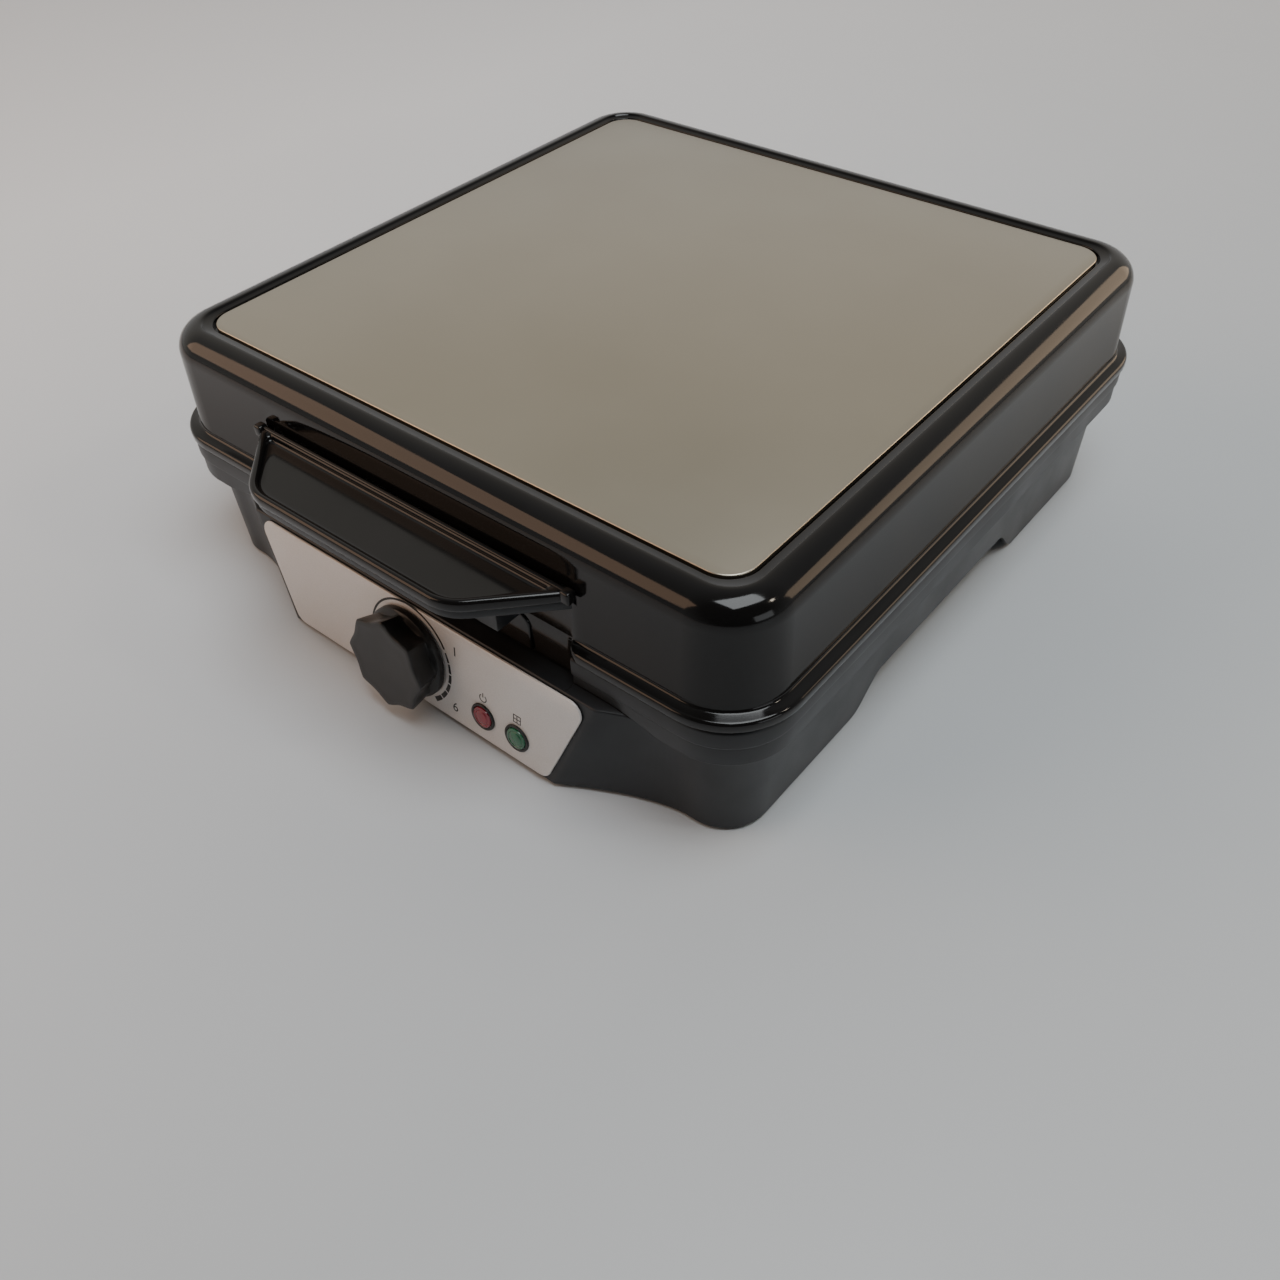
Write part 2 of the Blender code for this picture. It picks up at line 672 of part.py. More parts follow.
def make_bottom_cover(mat):
    """Flat cover above the arches, with vents and four posts for the feet."""
    half = BASE_HALF - BASE_DRAFT - WALL - COVER_CLEAR
    radius = BASE_RADIUS - BASE_DRAFT - WALL - COVER_CLEAR
    place = Matrix.Translation((0, 0, COVER_Z + COVER_T / 2))
    cover = plate("bottom_cover", fillet(square(half, half), [radius] * 4), COVER_T, place, mat)
    tongue = box("cover_tongue", (-COVER_TONGUE_HALF, -half - COVER_TONGUE_OUT, COVER_Z),
                 (COVER_TONGUE_HALF, -half + 2 * MM, COVER_Z + COVER_T))
    boolean(cover, tongue, 'UNION')
    for i, (x, y) in enumerate(corner_pairs(FOOT_AT, FOOT_AT)):
        post = cylinder(f"foot_post_{i}", FOOT_R, (x, y, FOOT_H + GAP), (x, y, COVER_Z + MM),
                        segments=12)
        boolean(cover, post, 'UNION')
        socket = cylinder(f"foot_socket_{i}", FOOT_STEM_R + GAP, (x, y, FOOT_H - MM),
                          (x, y, FOOT_H + GAP + FOOT_STEM_H + MM), segments=10)
        boolean(cover, socket)
    for i, (x, y) in enumerate(corner_pairs(BOSS_X, BOSS_Y)):
        hole = cylinder(f"cover_hole_{i}", SCREW_HOLE_R, (x, y, COVER_Z - MM),
                        (x, y, COVER_Z + COVER_T + MM), segments=10)
        boolean(cover, hole)
    pitch = 3 * VENT_W
    for side in (-1, 1):
        for k in range(VENTS):
            x = (k - (VENTS - 1) / 2) * pitch
            y = side * 50 * MM
            low = (x - VENT_W / 2, y - VENT_L / 2, COVER_Z - MM)
            high = (x + VENT_W / 2, y + VENT_L / 2, COVER_Z + COVER_T + MM)
            boolean(cover, box(f"vent_{side}_{k}", low, high))
    return cover


def make_feet(mat):
    chamfer = 1.2 * MM
    for i, (x, y) in enumerate(corner_pairs(FOOT_AT, FOOT_AT)):
        profile = [(0, FOOT_H + FOOT_STEM_H), (FOOT_STEM_R, FOOT_H + FOOT_STEM_H),
                   (FOOT_STEM_R, FOOT_H), (FOOT_R, FOOT_H), (FOOT_R, chamfer),
                   (FOOT_R - chamfer, 0), (0, 0)]
        turned(f"rubber_foot_{i + 1}", profile, (x, y, 0), (0, 0, 1), mat, steps=12)


# ---------------------------------------------------------------- fixings

def make_screw(name, head, direction, length, mat):
    """A pan-head screw: the head's outer face at head, the shank pointing along direction."""
    profile = [(0, 0), (SCREW_R, 0), (SCREW_R, length), (SCREW_HEAD_R, length),
               (SCREW_HEAD_R, length + SCREW_HEAD_H * 0.6),
               (SCREW_HEAD_R * 0.6, length + SCREW_HEAD_H), (0, length + SCREW_HEAD_H)]
    profile.reverse()
    tip = Vector(head) + Vector(direction) * (length + SCREW_HEAD_H)
    return turned(name, profile, tip, -Vector(direction), mat, steps=6)


def make_cover_screws(mat):
    for i, (x, y) in enumerate(corner_pairs(BOSS_X, BOSS_Y)):
        head = (x, y, COVER_Z - GAP - SCREW_HEAD_H)
        make_screw(f"cover_screw_{i + 1}", head, (0, 0, 1), COVER_T + 9 * MM, mat)


# ---------------------------------------------------------------- cooking plates

def plate_lines():
    """Grid lines across a plate: rim, pegs and channels of two cavities, divider."""
    cavity = PLATE_HALF - PLATE_RIM - PLATE_DIVIDER / 2
    pitch = cavity / PEG_ROWS
    lines = [PLATE_DIVIDER / 2]
    for k in range(PEG_ROWS):
        middle = PLATE_DIVIDER / 2 + (k + 0.5) * pitch
        lines += [middle - PEG_BASE / 2, middle + PEG_BASE / 2]
    lines += [PLATE_HALF - PLATE_RIM, PLATE_HALF]
    return [-x for x in reversed(lines)] + lines


def make_waffle_plate(name, rim_z, up, mat):
    """A cast plate with four cavities full of square pegs; up is +1 or -1, its open side."""
    lines = plate_lines()
    count = len(lines) - 1
    middle = count // 2
    bm = bmesh.new()
    bmesh.ops.create_grid(bm, x_segments=count, y_segments=count, size=1.0)
    for vert in bm.verts:
        i = round((vert.co.x + 1) / 2 * count)
        j = round((vert.co.y + 1) / 2 * count)
        vert.co = (lines[i], lines[j], 0)

    def cell(face):
        centre = face.calc_center_median()
        i = sum(1 for x in lines if x < centre.x) - 1
        j = sum(1 for y in lines if y < centre.y) - 1
        return i, j

    def in_cavity(i):
        return 0 < i < count - 1 and i != middle

    def on_peg(i):
        offset = i - 1 if i < middle else i - middle - 1
        return in_cavity(i) and offset % 2 == 1

    edges = bmesh.ops.extrude_edge_only(bm, edges=[e for e in bm.edges if e.is_boundary])["geom"]
    lowest = [g for g in edges if isinstance(g, bmesh.types.BMVert)]
    bmesh.ops.translate(bm, vec=(0, 0, -PLATE_DEPTH - PLATE_FLOOR), verts=lowest)
    bmesh.ops.edgeloop_fill(bm, edges=[e for e in bm.edges if e.is_boundary])
    flat = [f for f in bm.faces if abs(f.normal.z) > 0.9 and f.calc_center_median().z > -MM]
    pegs = []
    quarters = {}
    for face in flat:
        i, j = cell(face)
        if in_cavity(i) and in_cavity(j):
            quarters.setdefault((i > middle, j > middle), []).append(face)
            if on_peg(i) and on_peg(j):
                pegs.append(face)
    for faces in quarters.values():
        bmesh.ops.inset_region(bm, faces=faces, thickness=0.8 * MM, depth=-PLATE_DEPTH,
                               use_even_offset=True)
    bmesh.ops.inset_individual(bm, faces=pegs, thickness=PEG_DRAFT, depth=PEG_H)
    if up < 0:
        bmesh.ops.scale(bm, vec=(1, 1, -1), verts=bm.verts)
    bmesh.ops.translate(bm, vec=(0, 0, rim_z), verts=bm.verts)
    obj = object_from_bmesh(name, bm, mat)
    back = rim_z - up * (PLATE_DEPTH + PLATE_FLOOR)
    end = back - up * (SHIELD_DEPTH - SHIELD_T - GAP)
    for i, (x, y) in enumerate(corner_pairs(PLATE_BOSS_AT, PLATE_BOSS_AT)):
        boss = cylinder(f"{name}_boss_{i}", PLATE_BOSS_R, (x, y, back + up * MM), (x, y, end),
                        segments=10)
        boolean(obj, boss, 'UNION')
        hole = cylinder(f"{name}_hole_{i}", SCREW_HOLE_R, (x, y, end - up * MM),
                        (x, y, end + up * 8 * MM), segments=8)
        boolean(obj, hole)
    return obj


def make_heat_shield(name, mouth_z, up, mat):
    """A pressed tray whose mouth faces the plate; screw holes through its floor."""
    floor = mouth_z - up * SHIELD_DEPTH
    outer = [fillet(square(h, h), [SHIELD_RADIUS + h - SHIELD_HALF] * 4)
             for h in (SHIELD_HALF, SHIELD_HALF - SHIELD_T)]
    rings = [[(x, y, floor) for x, y in outer[0]],
             [(x, y, mouth_z) for x, y in outer[0]],
             [(x, y, mouth_z) for x, y in outer[1]],
             [(x, y, floor + up * SHIELD_T) for x, y in outer[1]]]
    shield = loft(name, rings, mat, closed=False)
    for i, (x, y) in enumerate(corner_pairs(PLATE_BOSS_AT, PLATE_BOSS_AT)):
        hole = cylinder(f"{name}_hole_{i}", SCREW_HOLE_R, (x, y, floor - up * MM),
                        (x, y, floor + up * 3 * MM), segments=8)
        boolean(shield, hole)
    heater_z = mouth_z - up * HEATER_R
    for side in (-1, 1):
        x = side * HEATER_END_X
        hole = cylinder(f"{name}_heater_hole_{side}", HEATER_R + 0.6 * MM,
                        (x, SHIELD_HALF - 4 * MM, heater_z - up * GAP),
                        (x, SHIELD_HALF + 4 * MM, heater_z - up * GAP), segments=12)
        boolean(shield, hole)
    return shield


def make_plate_screws(prefix, mouth_z, up, mat):
    floor = mouth_z - up * SHIELD_DEPTH
    for i, (x, y) in enumerate(corner_pairs(PLATE_BOSS_AT, PLATE_BOSS_AT)):
        head = (x, y, floor - up * (GAP + SCREW_HEAD_H))
        make_screw(f"{prefix}_plate_screw_{i + 1}", head, (0, 0, up), SHIELD_T + 6 * MM, mat)


def make_heater(name, z, mat):
    """A tubular heater bent once round the plate, its two ends brought out at the back."""
    half = HEATER_HALF
    end = HEATER_END_X
    points = [(end, HEATER_END_Y), (end, half), (half, half), (half, -half),
              (-half, -half), (-half, half), (-end, half), (-end, HEATER_END_Y)]
    turn = 8 * MM
    radii = [0, turn, HEATER_BEND, HEATER_BEND, HEATER_BEND, HEATER_BEND, turn, 0]
    path = fillet(points, radii)
    return tube(name, [(x, y, z) for x, y in path], HEATER_R, mat)


# ---------------------------------------------------------------- lid

def lid_shell_form(mat):
    """The moulded lid: rounded shoulder, flange, deck and the apron at the front."""
    flange = LID_HALF + LID_FLANGE_OUT
    soft = 1.2 * MM
    bottom = LID_BOTTOM_Z
    top = bottom + LID_FLANGE_H
    foot = LID_HALF + LID_FLARE
    inner = LID_HALF - WALL
    spring_z = TOP_Z + CREST - SHOULDER_H
    crest = LID_HALF - SHOULDER_OUT
    rim = PANEL_HALF + PANEL_CLEAR
    ledge_z = TOP_Z - PANEL_T - GAP
    ledge = rim - LEDGE_W

    def level(half, z, front=None):
        return ring(half, LID_RADIUS + half - LID_HALF, z, front)

    def apron(half, z, apron_half, apron_z):
        """A level whose front middle runs down the apron instead of round the flange."""
        def front(x):
            over = min(max((abs(x) - APRON_HALF) / (6 * MM), 0), 1)
            swell = math.sqrt(1 - (1 - over) ** 2)
            y = apron_half + (half - apron_half) * swell
            return (x, -y, apron_z if abs(x) <= APRON_HALF else z)
        return level(half, z, front)

    rings = [
        ring(DECK_HALF, DECK_RADIUS, bottom),
        level(inner, bottom),
        apron(inner + 0.4 * MM, bottom, inner, APRON_BOTTOM_Z),
        apron(flange - soft, bottom, LID_HALF, APRON_BOTTOM_Z),
        apron(flange, bottom + soft, LID_HALF, bottom + soft),
        apron(flange, top - 2 * soft, LID_HALF, top - 2 * soft),
        apron(flange - soft, top - soft, foot, top - soft),
        level(foot, top),
    ]
    for k in range(SHOULDER_STEPS + 1):
        angle = math.pi / 2 * k / SHOULDER_STEPS
        out = SHOULDER_OUT * (1 - math.cos(angle))
        rings.append(level(LID_HALF - out, spring_z + SHOULDER_H * math.sin(angle)))
    rings += [
        level(crest - 0.6 * MM, TOP_Z),
        ring(rim, PANEL_RADIUS + PANEL_CLEAR, TOP_Z),
        ring(rim, PANEL_RADIUS + PANEL_CLEAR, ledge_z),
        ring(ledge, PANEL_RADIUS, ledge_z),
        ring(ledge, PANEL_RADIUS, ledge_z - LEDGE_T),
        level(LID_HALF - SHOULDER_OUT + WALL, ledge_z - LEDGE_T),
        level(inner, spring_z),
        level(inner, bottom + DECK),
        ring(DECK_HALF, DECK_RADIUS, bottom + DECK),
    ]
    return loft("lid_shell", rings, mat, closed=True)


def make_lid_shell(mat):
    shell = lid_shell_form(mat)
    add_bosses(shell, LID_BOTTOM_Z + DECK, UPPER_BACK_Z + 8 * MM, UPPER_BACK_Z + GAP, False)
    pad_y = -(LID_HALF + PAD_OUT)
    pad = box("apron_pad", (-PAD_HALF, pad_y, APRON_BOTTOM_Z + 0.5 * MM),
              (PAD_HALF, -LID_HALF + MM, PAD_TOP_Z))
    boolean(shell, pad, 'UNION')
    for side in (-1, 1):
        x = side * HANDLE_SCREW_X
        grip = cylinder(f"handle_hole_{side}", SCREW_HOLE_R,
                        (x, -LID_HALF - 3 * MM, HANDLE_SCREW_Z),
                        (x, -LID_HALF + 6 * MM, HANDLE_SCREW_Z), segments=10)
        boolean(shell, grip)
        arm = cylinder(f"arm_hole_{side}", SCREW_HOLE_R,
                       (side * HINGE_X, LID_HALF - 6 * MM, ARM_SCREW_Z),
                       (side * HINGE_X, LID_HALF + 3 * MM, ARM_SCREW_Z), segments=10)
        boolean(shell, arm)
    return shell


def make_top_panel(mat):
    place = Matrix.Translation((0, 0, TOP_Z - PANEL_T / 2))
    outline = fillet(square(PANEL_HALF, PANEL_HALF), [PANEL_RADIUS] * 4)
    return plate("lid_top_panel", outline, PANEL_T, place, mat)


def handle_outline(inset, back_y):
    """Plan of the handle: wide at the lid, narrow and rounded in front."""
    lean = (HANDLE_BACK_HALF - HANDLE_FRONT_HALF) / (-LID_HALF - HANDLE_FRONT_Y)
    spread = inset * math.hypot(1, lean)
    front = HANDLE_FRONT_Y + inset
    narrow = HANDLE_FRONT_HALF - spread + lean * inset
    wide = narrow + lean * (back_y - front)
    points = [(-wide, back_y), (-narrow, front), (narrow, front), (wide, back_y)]
    return fillet(points, [0, HANDLE_RADIUS - inset, HANDLE_RADIUS - inset, 0])


def make_handle(mat, cover_mat):
    """Two mouldings: a dished upper half with a raised bead, and the cover under it."""
    back = -(LID_HALF + LID_FLARE + HANDLE_CLEAR)
    upper_h = HANDLE_TOP_Z - HANDLE_SPLIT_Z
    place = Matrix.Translation((0, 0, HANDLE_SPLIT_Z + upper_h / 2))
    handle = plate("handle_upper", handle_outline(0, back), upper_h, place, mat)
    dish_h = HANDLE_DISH + MM
    place = Matrix.Translation((0, 0, HANDLE_TOP_Z - HANDLE_DISH + dish_h / 2))
    dish = plate("handle_dish", handle_outline(HANDLE_BEAD, back - HANDLE_BEAD), dish_h, place)
    boolean(handle, dish)
    lower_h = HANDLE_SPLIT_Z - GAP - HANDLE_BOTTOM_Z
    place = Matrix.Translation((0, 0, HANDLE_BOTTOM_Z + lower_h / 2))
    cover = plate("handle_cover", handle_outline(1.2 * MM, back), lower_h, place, cover_mat)
    for side in (-1, 1):
        x = side * HANDLE_SCREW_X
        low = (x - HANDLE_BLOCK, back - 14 * MM, HANDLE_SCREW_Z - 5 * MM)
        high = (x + HANDLE_BLOCK, back, HANDLE_BOTTOM_Z + MM)
        boolean(cover, box(f"handle_block_{side}", low, high), 'UNION')
        hole = cylinder(f"handle_block_hole_{side}", SCREW_HOLE_R, (x, back + MM, HANDLE_SCREW_Z),
                        (x, back - 9 * MM, HANDLE_SCREW_Z), segments=10)
        boolean(cover, hole)


def make_handle_screws(mat):
    for side, word in ((-1, "left"), (1, "right")):
        y = -(LID_HALF - WALL - GAP - SCREW_HEAD_H)
        head = (side * HANDLE_SCREW_X, y, HANDLE_SCREW_Z)
        make_screw(f"handle_screw_{word}", head, (0, -1, 0), 9 * MM, mat)


# ---------------------------------------------------------------- hinge

def make_base_bracket(side, word, mat):
    """Bracket on the back of the base with two ears for the hinge pin."""
    x = side * HINGE_X
    ear_x = KNUCKLE_W / 2 + EAR_CLEAR
    wide = ear_x + EAR_W
    back = BASE_HALF + BASE_FLANGE_OUT + 0.4 * MM
    name = f"hinge_bracket_{word}"
    bracket = box(name, (x - wide, back, BRACKET_SCREW_Z - 5 * MM),
                  (x + wide, back + BRACKET_T, BASE_TOP_Z - 0.7 * MM), mat)
    pad = box(f"{name}_pad", (x - 8 * MM, BASE_HALF + 0.4 * MM, BRACKET_SCREW_Z - 4.5 * MM),
              (x + 8 * MM, back + MM, BRACKET_SCREW_Z + 4.5 * MM))
    boolean(bracket, pad, 'UNION')
    for edge in (-1, 1):
        near = x + edge * ear_x
        far = x + edge * wide
        arm = box(f"{name}_arm_{edge}", (min(near, far), back + MM, HINGE_Z - 4.6 * MM),
                  (max(near, far), HINGE_Y, HINGE_Z + 2 * MM))
        boolean(bracket, arm, 'UNION')
        eye = cylinder(f"{name}_eye_{edge}", KNUCKLE_R, (near, HINGE_Y, HINGE_Z),
                       (far, HINGE_Y, HINGE_Z), segments=20)
        boolean(bracket, eye, 'UNION')
    bore = cylinder(f"{name}_bore", PIN_R + PIN_CLEAR, (x - 2 * wide, HINGE_Y, HINGE_Z),
                    (x + 2 * wide, HINGE_Y, HINGE_Z))
    boolean(bracket, bore)
    hole = cylinder(f"{name}_screw_hole", SCREW_HOLE_R, (x, BASE_HALF - MM, BRACKET_SCREW_Z),
                    (x, back + BRACKET_T - MM, BRACKET_SCREW_Z), segments=10)
    boolean(bracket, hole)


def make_lid_arm(side, word, mat):
    """Arm on the back of the lid, its knuckle between the bracket's ears."""
    x = side * HINGE_X
    half = KNUCKLE_W / 2
    wall = LID_HALF + LID_FLARE + 0.6 * MM
    clear = LID_HALF + LID_FLANGE_OUT + 1.4 * MM
    name = f"hinge_arm_{word}"
    arm = box(name, (x - half, clear, HINGE_Z), (x + half, clear + ARM_T, ARM_TOP_Z), mat)
    foot = box(f"{name}_foot", (x - half, wall, LID_BOTTOM_Z + LID_FLANGE_H + 1.5 * MM),
               (x + half, clear + MM, ARM_TOP_Z))
    boolean(arm, foot, 'UNION')
    knuckle = cylinder(f"{name}_knuckle", KNUCKLE_R, (x - half, HINGE_Y, HINGE_Z),
                       (x + half, HINGE_Y, HINGE_Z), segments=20)
    boolean(arm, knuckle, 'UNION')
    bore = cylinder(f"{name}_bore", PIN_R + PIN_CLEAR, (x - 2 * half, HINGE_Y, HINGE_Z),
                    (x + 2 * half, HINGE_Y, HINGE_Z))
    boolean(arm, bore)
    hole = cylinder(f"{name}_screw_hole", SCREW_HOLE_R, (x, LID_HALF - MM, ARM_SCREW_Z),
                    (x, clear + ARM_T - MM, ARM_SCREW_Z), segments=10)
    boolean(arm, hole)


def make_hinges(metal, pin_metal):
    for side, word in ((-1, "left"), (1, "right")):
        x = side * HINGE_X
        make_base_bracket(side, word, metal)
        make_lid_arm(side, word, metal)
        reach = KNUCKLE_W / 2 + EAR_CLEAR + EAR_W + 0.5 * MM
        cylinder(f"hinge_pin_{word}", PIN_R, (x - reach, HINGE_Y, HINGE_Z),
                 (x + reach, HINGE_Y, HINGE_Z), pin_metal, segments=12)
        head = (x, BASE_HALF - WALL - BASE_DRAFT - GAP - SCREW_HEAD_H, BRACKET_SCREW_Z)
        make_screw(f"bracket_screw_{word}", head, (0, 1, 0), 9 * MM, pin_metal)
        head = (x, LID_HALF - WALL - GAP - SCREW_HEAD_H, ARM_SCREW_Z)
        make_screw(f"arm_screw_{word}", head, (0, 1, 0), 9 * MM, pin_metal)


# ---------------------------------------------------------------- controls

def make_label(mat):
    """Thin trapezoid plate on the console's face, with holes for the shaft and lamps."""
    top = CONSOLE_LENGTH / 2 - LABEL_TOP_BORDER
    bottom = -CONSOLE_LENGTH / 2 + LABEL_BOTTOM_BORDER
    top_half = CONSOLE_TOP_HALF - LABEL_BORDER
    bottom_half = CONSOLE_BOTTOM_HALF - LABEL_BORDER
    points = [(-bottom_half, bottom), (bottom_half, bottom), (top_half, top), (-top_half, top)]
    outline = fillet(points, [LABEL_RADIUS] * 4)
    place = console_frame(0, CONSOLE_LENGTH / 2, GAP + LABEL_T / 2)
    label = plate("control_label", outline, LABEL_T, place, mat)
    shaft = cylinder("label_shaft_hole", SHAFT_R + SHAFT_HOLE_CLEAR,
                     on_console(0, KNOB_DROP, 5 * MM), on_console(0, KNOB_DROP, -5 * MM))
    boolean(label, shaft)
    for name, x in LAMP_XS.items():
        hole = cylinder(f"label_{name}_hole", LAMP_HOLE_R, on_console(x, LAMP_DROP, 5 * MM),
                        on_console(x, LAMP_DROP, -5 * MM))
        boolean(label, hole)


def knob_ring(height, blend, inset=0.0):
    """A level of the knob: round at blend 0, fluted at blend 1."""
    steps = 6 * KNOB_FLUTES
    points = []
    for k in range(steps):
        angle = 2 * math.pi * k / steps
        wave = abs(math.sin(angle * KNOB_FLUTES / 2)) ** 1.3
        fluted = KNOB_FLUTE_R - KNOB_FLUTE_DEPTH * wave
        radius = KNOB_R + (fluted - KNOB_R) * blend - inset
        points.append(Vector((radius * math.cos(angle), radius * math.sin(angle), height)))
    return points


def make_knob(mat, shaft_mat):
    """The browning knob on its shaft; both turn about the console's normal."""
    base = LABEL_FACE + KNOB_CLEAR
    axis = bpy.data.objects.new("knob_axis", None)
    tools.objects.link(axis)
    axis.matrix_world = console_frame(0, KNOB_DROP, base)
    chamfer = 0.8 * MM
    rings = [knob_ring(0, 0), knob_ring(KNOB_SKIRT_H, 0), knob_ring(KNOB_SKIRT_H + MM, 1, MM),
             knob_ring(KNOB_H - chamfer, 1), knob_ring(KNOB_H, 1, chamfer)]
    knob = loft("knob", rings, mat, closed=False)
    bore = cylinder("knob_bore", SHAFT_R + SHAFT_CLEAR, (0, 0, -MM), (0, 0, KNOB_BORE))
    boolean(knob, bore)
    for obj in (knob, bore):
        obj.parent = axis
    shaft = cylinder("thermostat_shaft", SHAFT_R, (0, 0, -base - THERMOSTAT_BACK + GAP),
                     (0, 0, KNOB_BORE - MM), shaft_mat)
    shaft.parent = axis


def make_thermostat(mat):
    across, tall, deep = THERMOSTAT
    body = box("thermostat_body", (-across / 2, -tall / 2, -deep), (across / 2, tall / 2, 0), mat)
    body.matrix_world = console_frame(0, KNOB_DROP - THERMOSTAT_RISE, -THERMOSTAT_BACK)
    bevel(body, 0.8 * MM)


def make_lamp(name, x, lens_mat, holder_mat, bulb_mat):
    """One indicator: a flanged holder through the label, a lens and the bulb behind it."""
    seat = LABEL_FACE + GAP
    top = seat + LAMP_FLANGE_T
    inner = LAMP_R + GAP
    outer = inner + LAMP_HOLDER_WALL - GAP + 0.2 * MM
    place = on_console(x, LAMP_DROP)
    rim = 0.3 * MM
    profile = [(LAMP_FLANGE_R - rim, top), (LAMP_FLANGE_R, top - rim), (LAMP_FLANGE_R, seat),
               (outer, seat), (outer, -LAMP_DEPTH), (inner, -LAMP_DEPTH), (inner, top)]
    turned(f"{name}_lamp_holder", profile, place, CONSOLE_NORMAL, holder_mat)
    dome = [(LAMP_R * math.sin(math.radians(a)), top - 0.2 * MM + LAMP_DOME * math.cos(math.radians(a)))
            for a in (0, 30, 60, 90)]
    lens_back = -LAMP_DEPTH * 0.6
    profile = [(0, dome[0][1])] + dome[1:] + [(LAMP_R, lens_back), (0, lens_back)]
    turned(f"{name}_lamp_lens", profile, place, CONSOLE_NORMAL, lens_mat)
    bulb_top = lens_back - GAP
    cylinder(f"{name}_lamp_bulb", BULB_R, on_console(x, LAMP_DROP, bulb_top),
             on_console(x, LAMP_DROP, bulb_top - BULB_L), bulb_mat, segments=12)


# ---------------------------------------------------------------- mains and wiring

def make_gland(mat):
    """Grommet in the back wall where the mains lead comes in."""
    flange = (BASE_HALF + 0.3 * MM, BASE_HALF + 2.3 * MM)
    lip = (BASE_HALF - BASE_DRAFT - WALL - 2.4 * MM, BASE_HALF - BASE_DRAFT - WALL - 0.3 * MM)
    profile = [(GLAND_FLANGE_R - MM, flange[1]), (GLAND_FLANGE_R, flange[0]),
               (GLAND_R, flange[0]), (GLAND_R, lip[1]), (GLAND_R + MM, lip[1]),
               (GLAND_R + 0.4 * MM, lip[0]), (GLAND_BORE_R, lip[0]), (GLAND_BORE_R, flange[1])]
    turned("cord_gland", profile, (GLAND_X, 0, GLAND_Z), (0, 1, 0), mat)


def leaving(end, away):
    """The first two points of a wire that leaves a terminal straight, in the direction away."""
    return [Vector(end) + Vector(away) * distance for distance in (GAP, WIRE_LEAD)]


def make_wiring(line_mat, neutral_mat):
    """Leads between the terminal block, the fuse, the thermostat and the lower heater."""
    heater_z = LOWER_BACK_Z - GAP - HEATER_R
    low_x, front_y, _ = TERMINAL_LOW
    high_x, back_y, _ = TERMINAL_HIGH
    across = THERMOSTAT[0] / 3
    behind = THERMOSTAT_BACK + THERMOSTAT[2] + WIRE_R
    rear = on_console(0, KNOB_DROP - THERMOSTAT_RISE, -behind)
    level = FUSE_Z - MM
    terminal = (low_x + high_x) / 2
    back, front, left, right = (0, 1, 0), (0, -1, 0), (-1, 0, 0), (1, 0, 0)
    end_y = HEATER_END_Y + GAP
    turn_y = end_y + WIRE_LEAD

    def wire(name, route, mat):
        tube(name, rounded_path(route, WIRE_BEND), WIRE_R, mat, 1)

    wire("wire_line", [*leaving((terminal, front_y, level), front),
                       (-WIRE_RUN_X, WIRE_RUN_Y, level), (-WIRE_RUN_X, -WIRE_RUN_Y, level),
                       *reversed(leaving(FUSE_START, left))], line_mat)
    wire("wire_control", [*leaving(FUSE_END, right),
                          *reversed(leaving((-across, rear.y, rear.z), back))], line_mat)
    wire("wire_switched", [*leaving((across, rear.y, rear.z), back),
                           (WIRE_RUN_X, -WIRE_RUN_Y, level), (WIRE_RUN_X, WIRE_RUN_Y, level),
                           (HEATER_END_X, turn_y, level), (HEATER_END_X, turn_y, heater_z),
                           (HEATER_END_X, end_y, heater_z)], line_mat)
    neutral_x = high_x - 4 * MM
    wire("wire_neutral", [(neutral_x, back_y + GAP, level), (neutral_x, turn_y + 2 * MM, level),
                          (-HEATER_END_X, turn_y, heater_z),
                          (-HEATER_END_X, end_y, heater_z)], neutral_mat)


def make_mains_parts(moulded, glass, line_mat, neutral_mat):
    block = box("terminal_block", TERMINAL_LOW, TERMINAL_HIGH, moulded)
    bevel(block, MM)
    cylinder("thermal_fuse", FUSE_R, FUSE_START, FUSE_END, glass, segments=12)
    make_wiring(line_mat, neutral_mat)


# ---------------------------------------------------------------- assembly

def centre_on_origin():
    """Moves everything so that the handle and the hinge reach equally far from the origin."""
    middle = (HANDLE_FRONT_Y + HINGE_Y + KNUCKLE_R) / 2
    for obj in list(parts.objects) + list(tools.objects):
        if obj.parent is None:
            obj.location.y -= middle


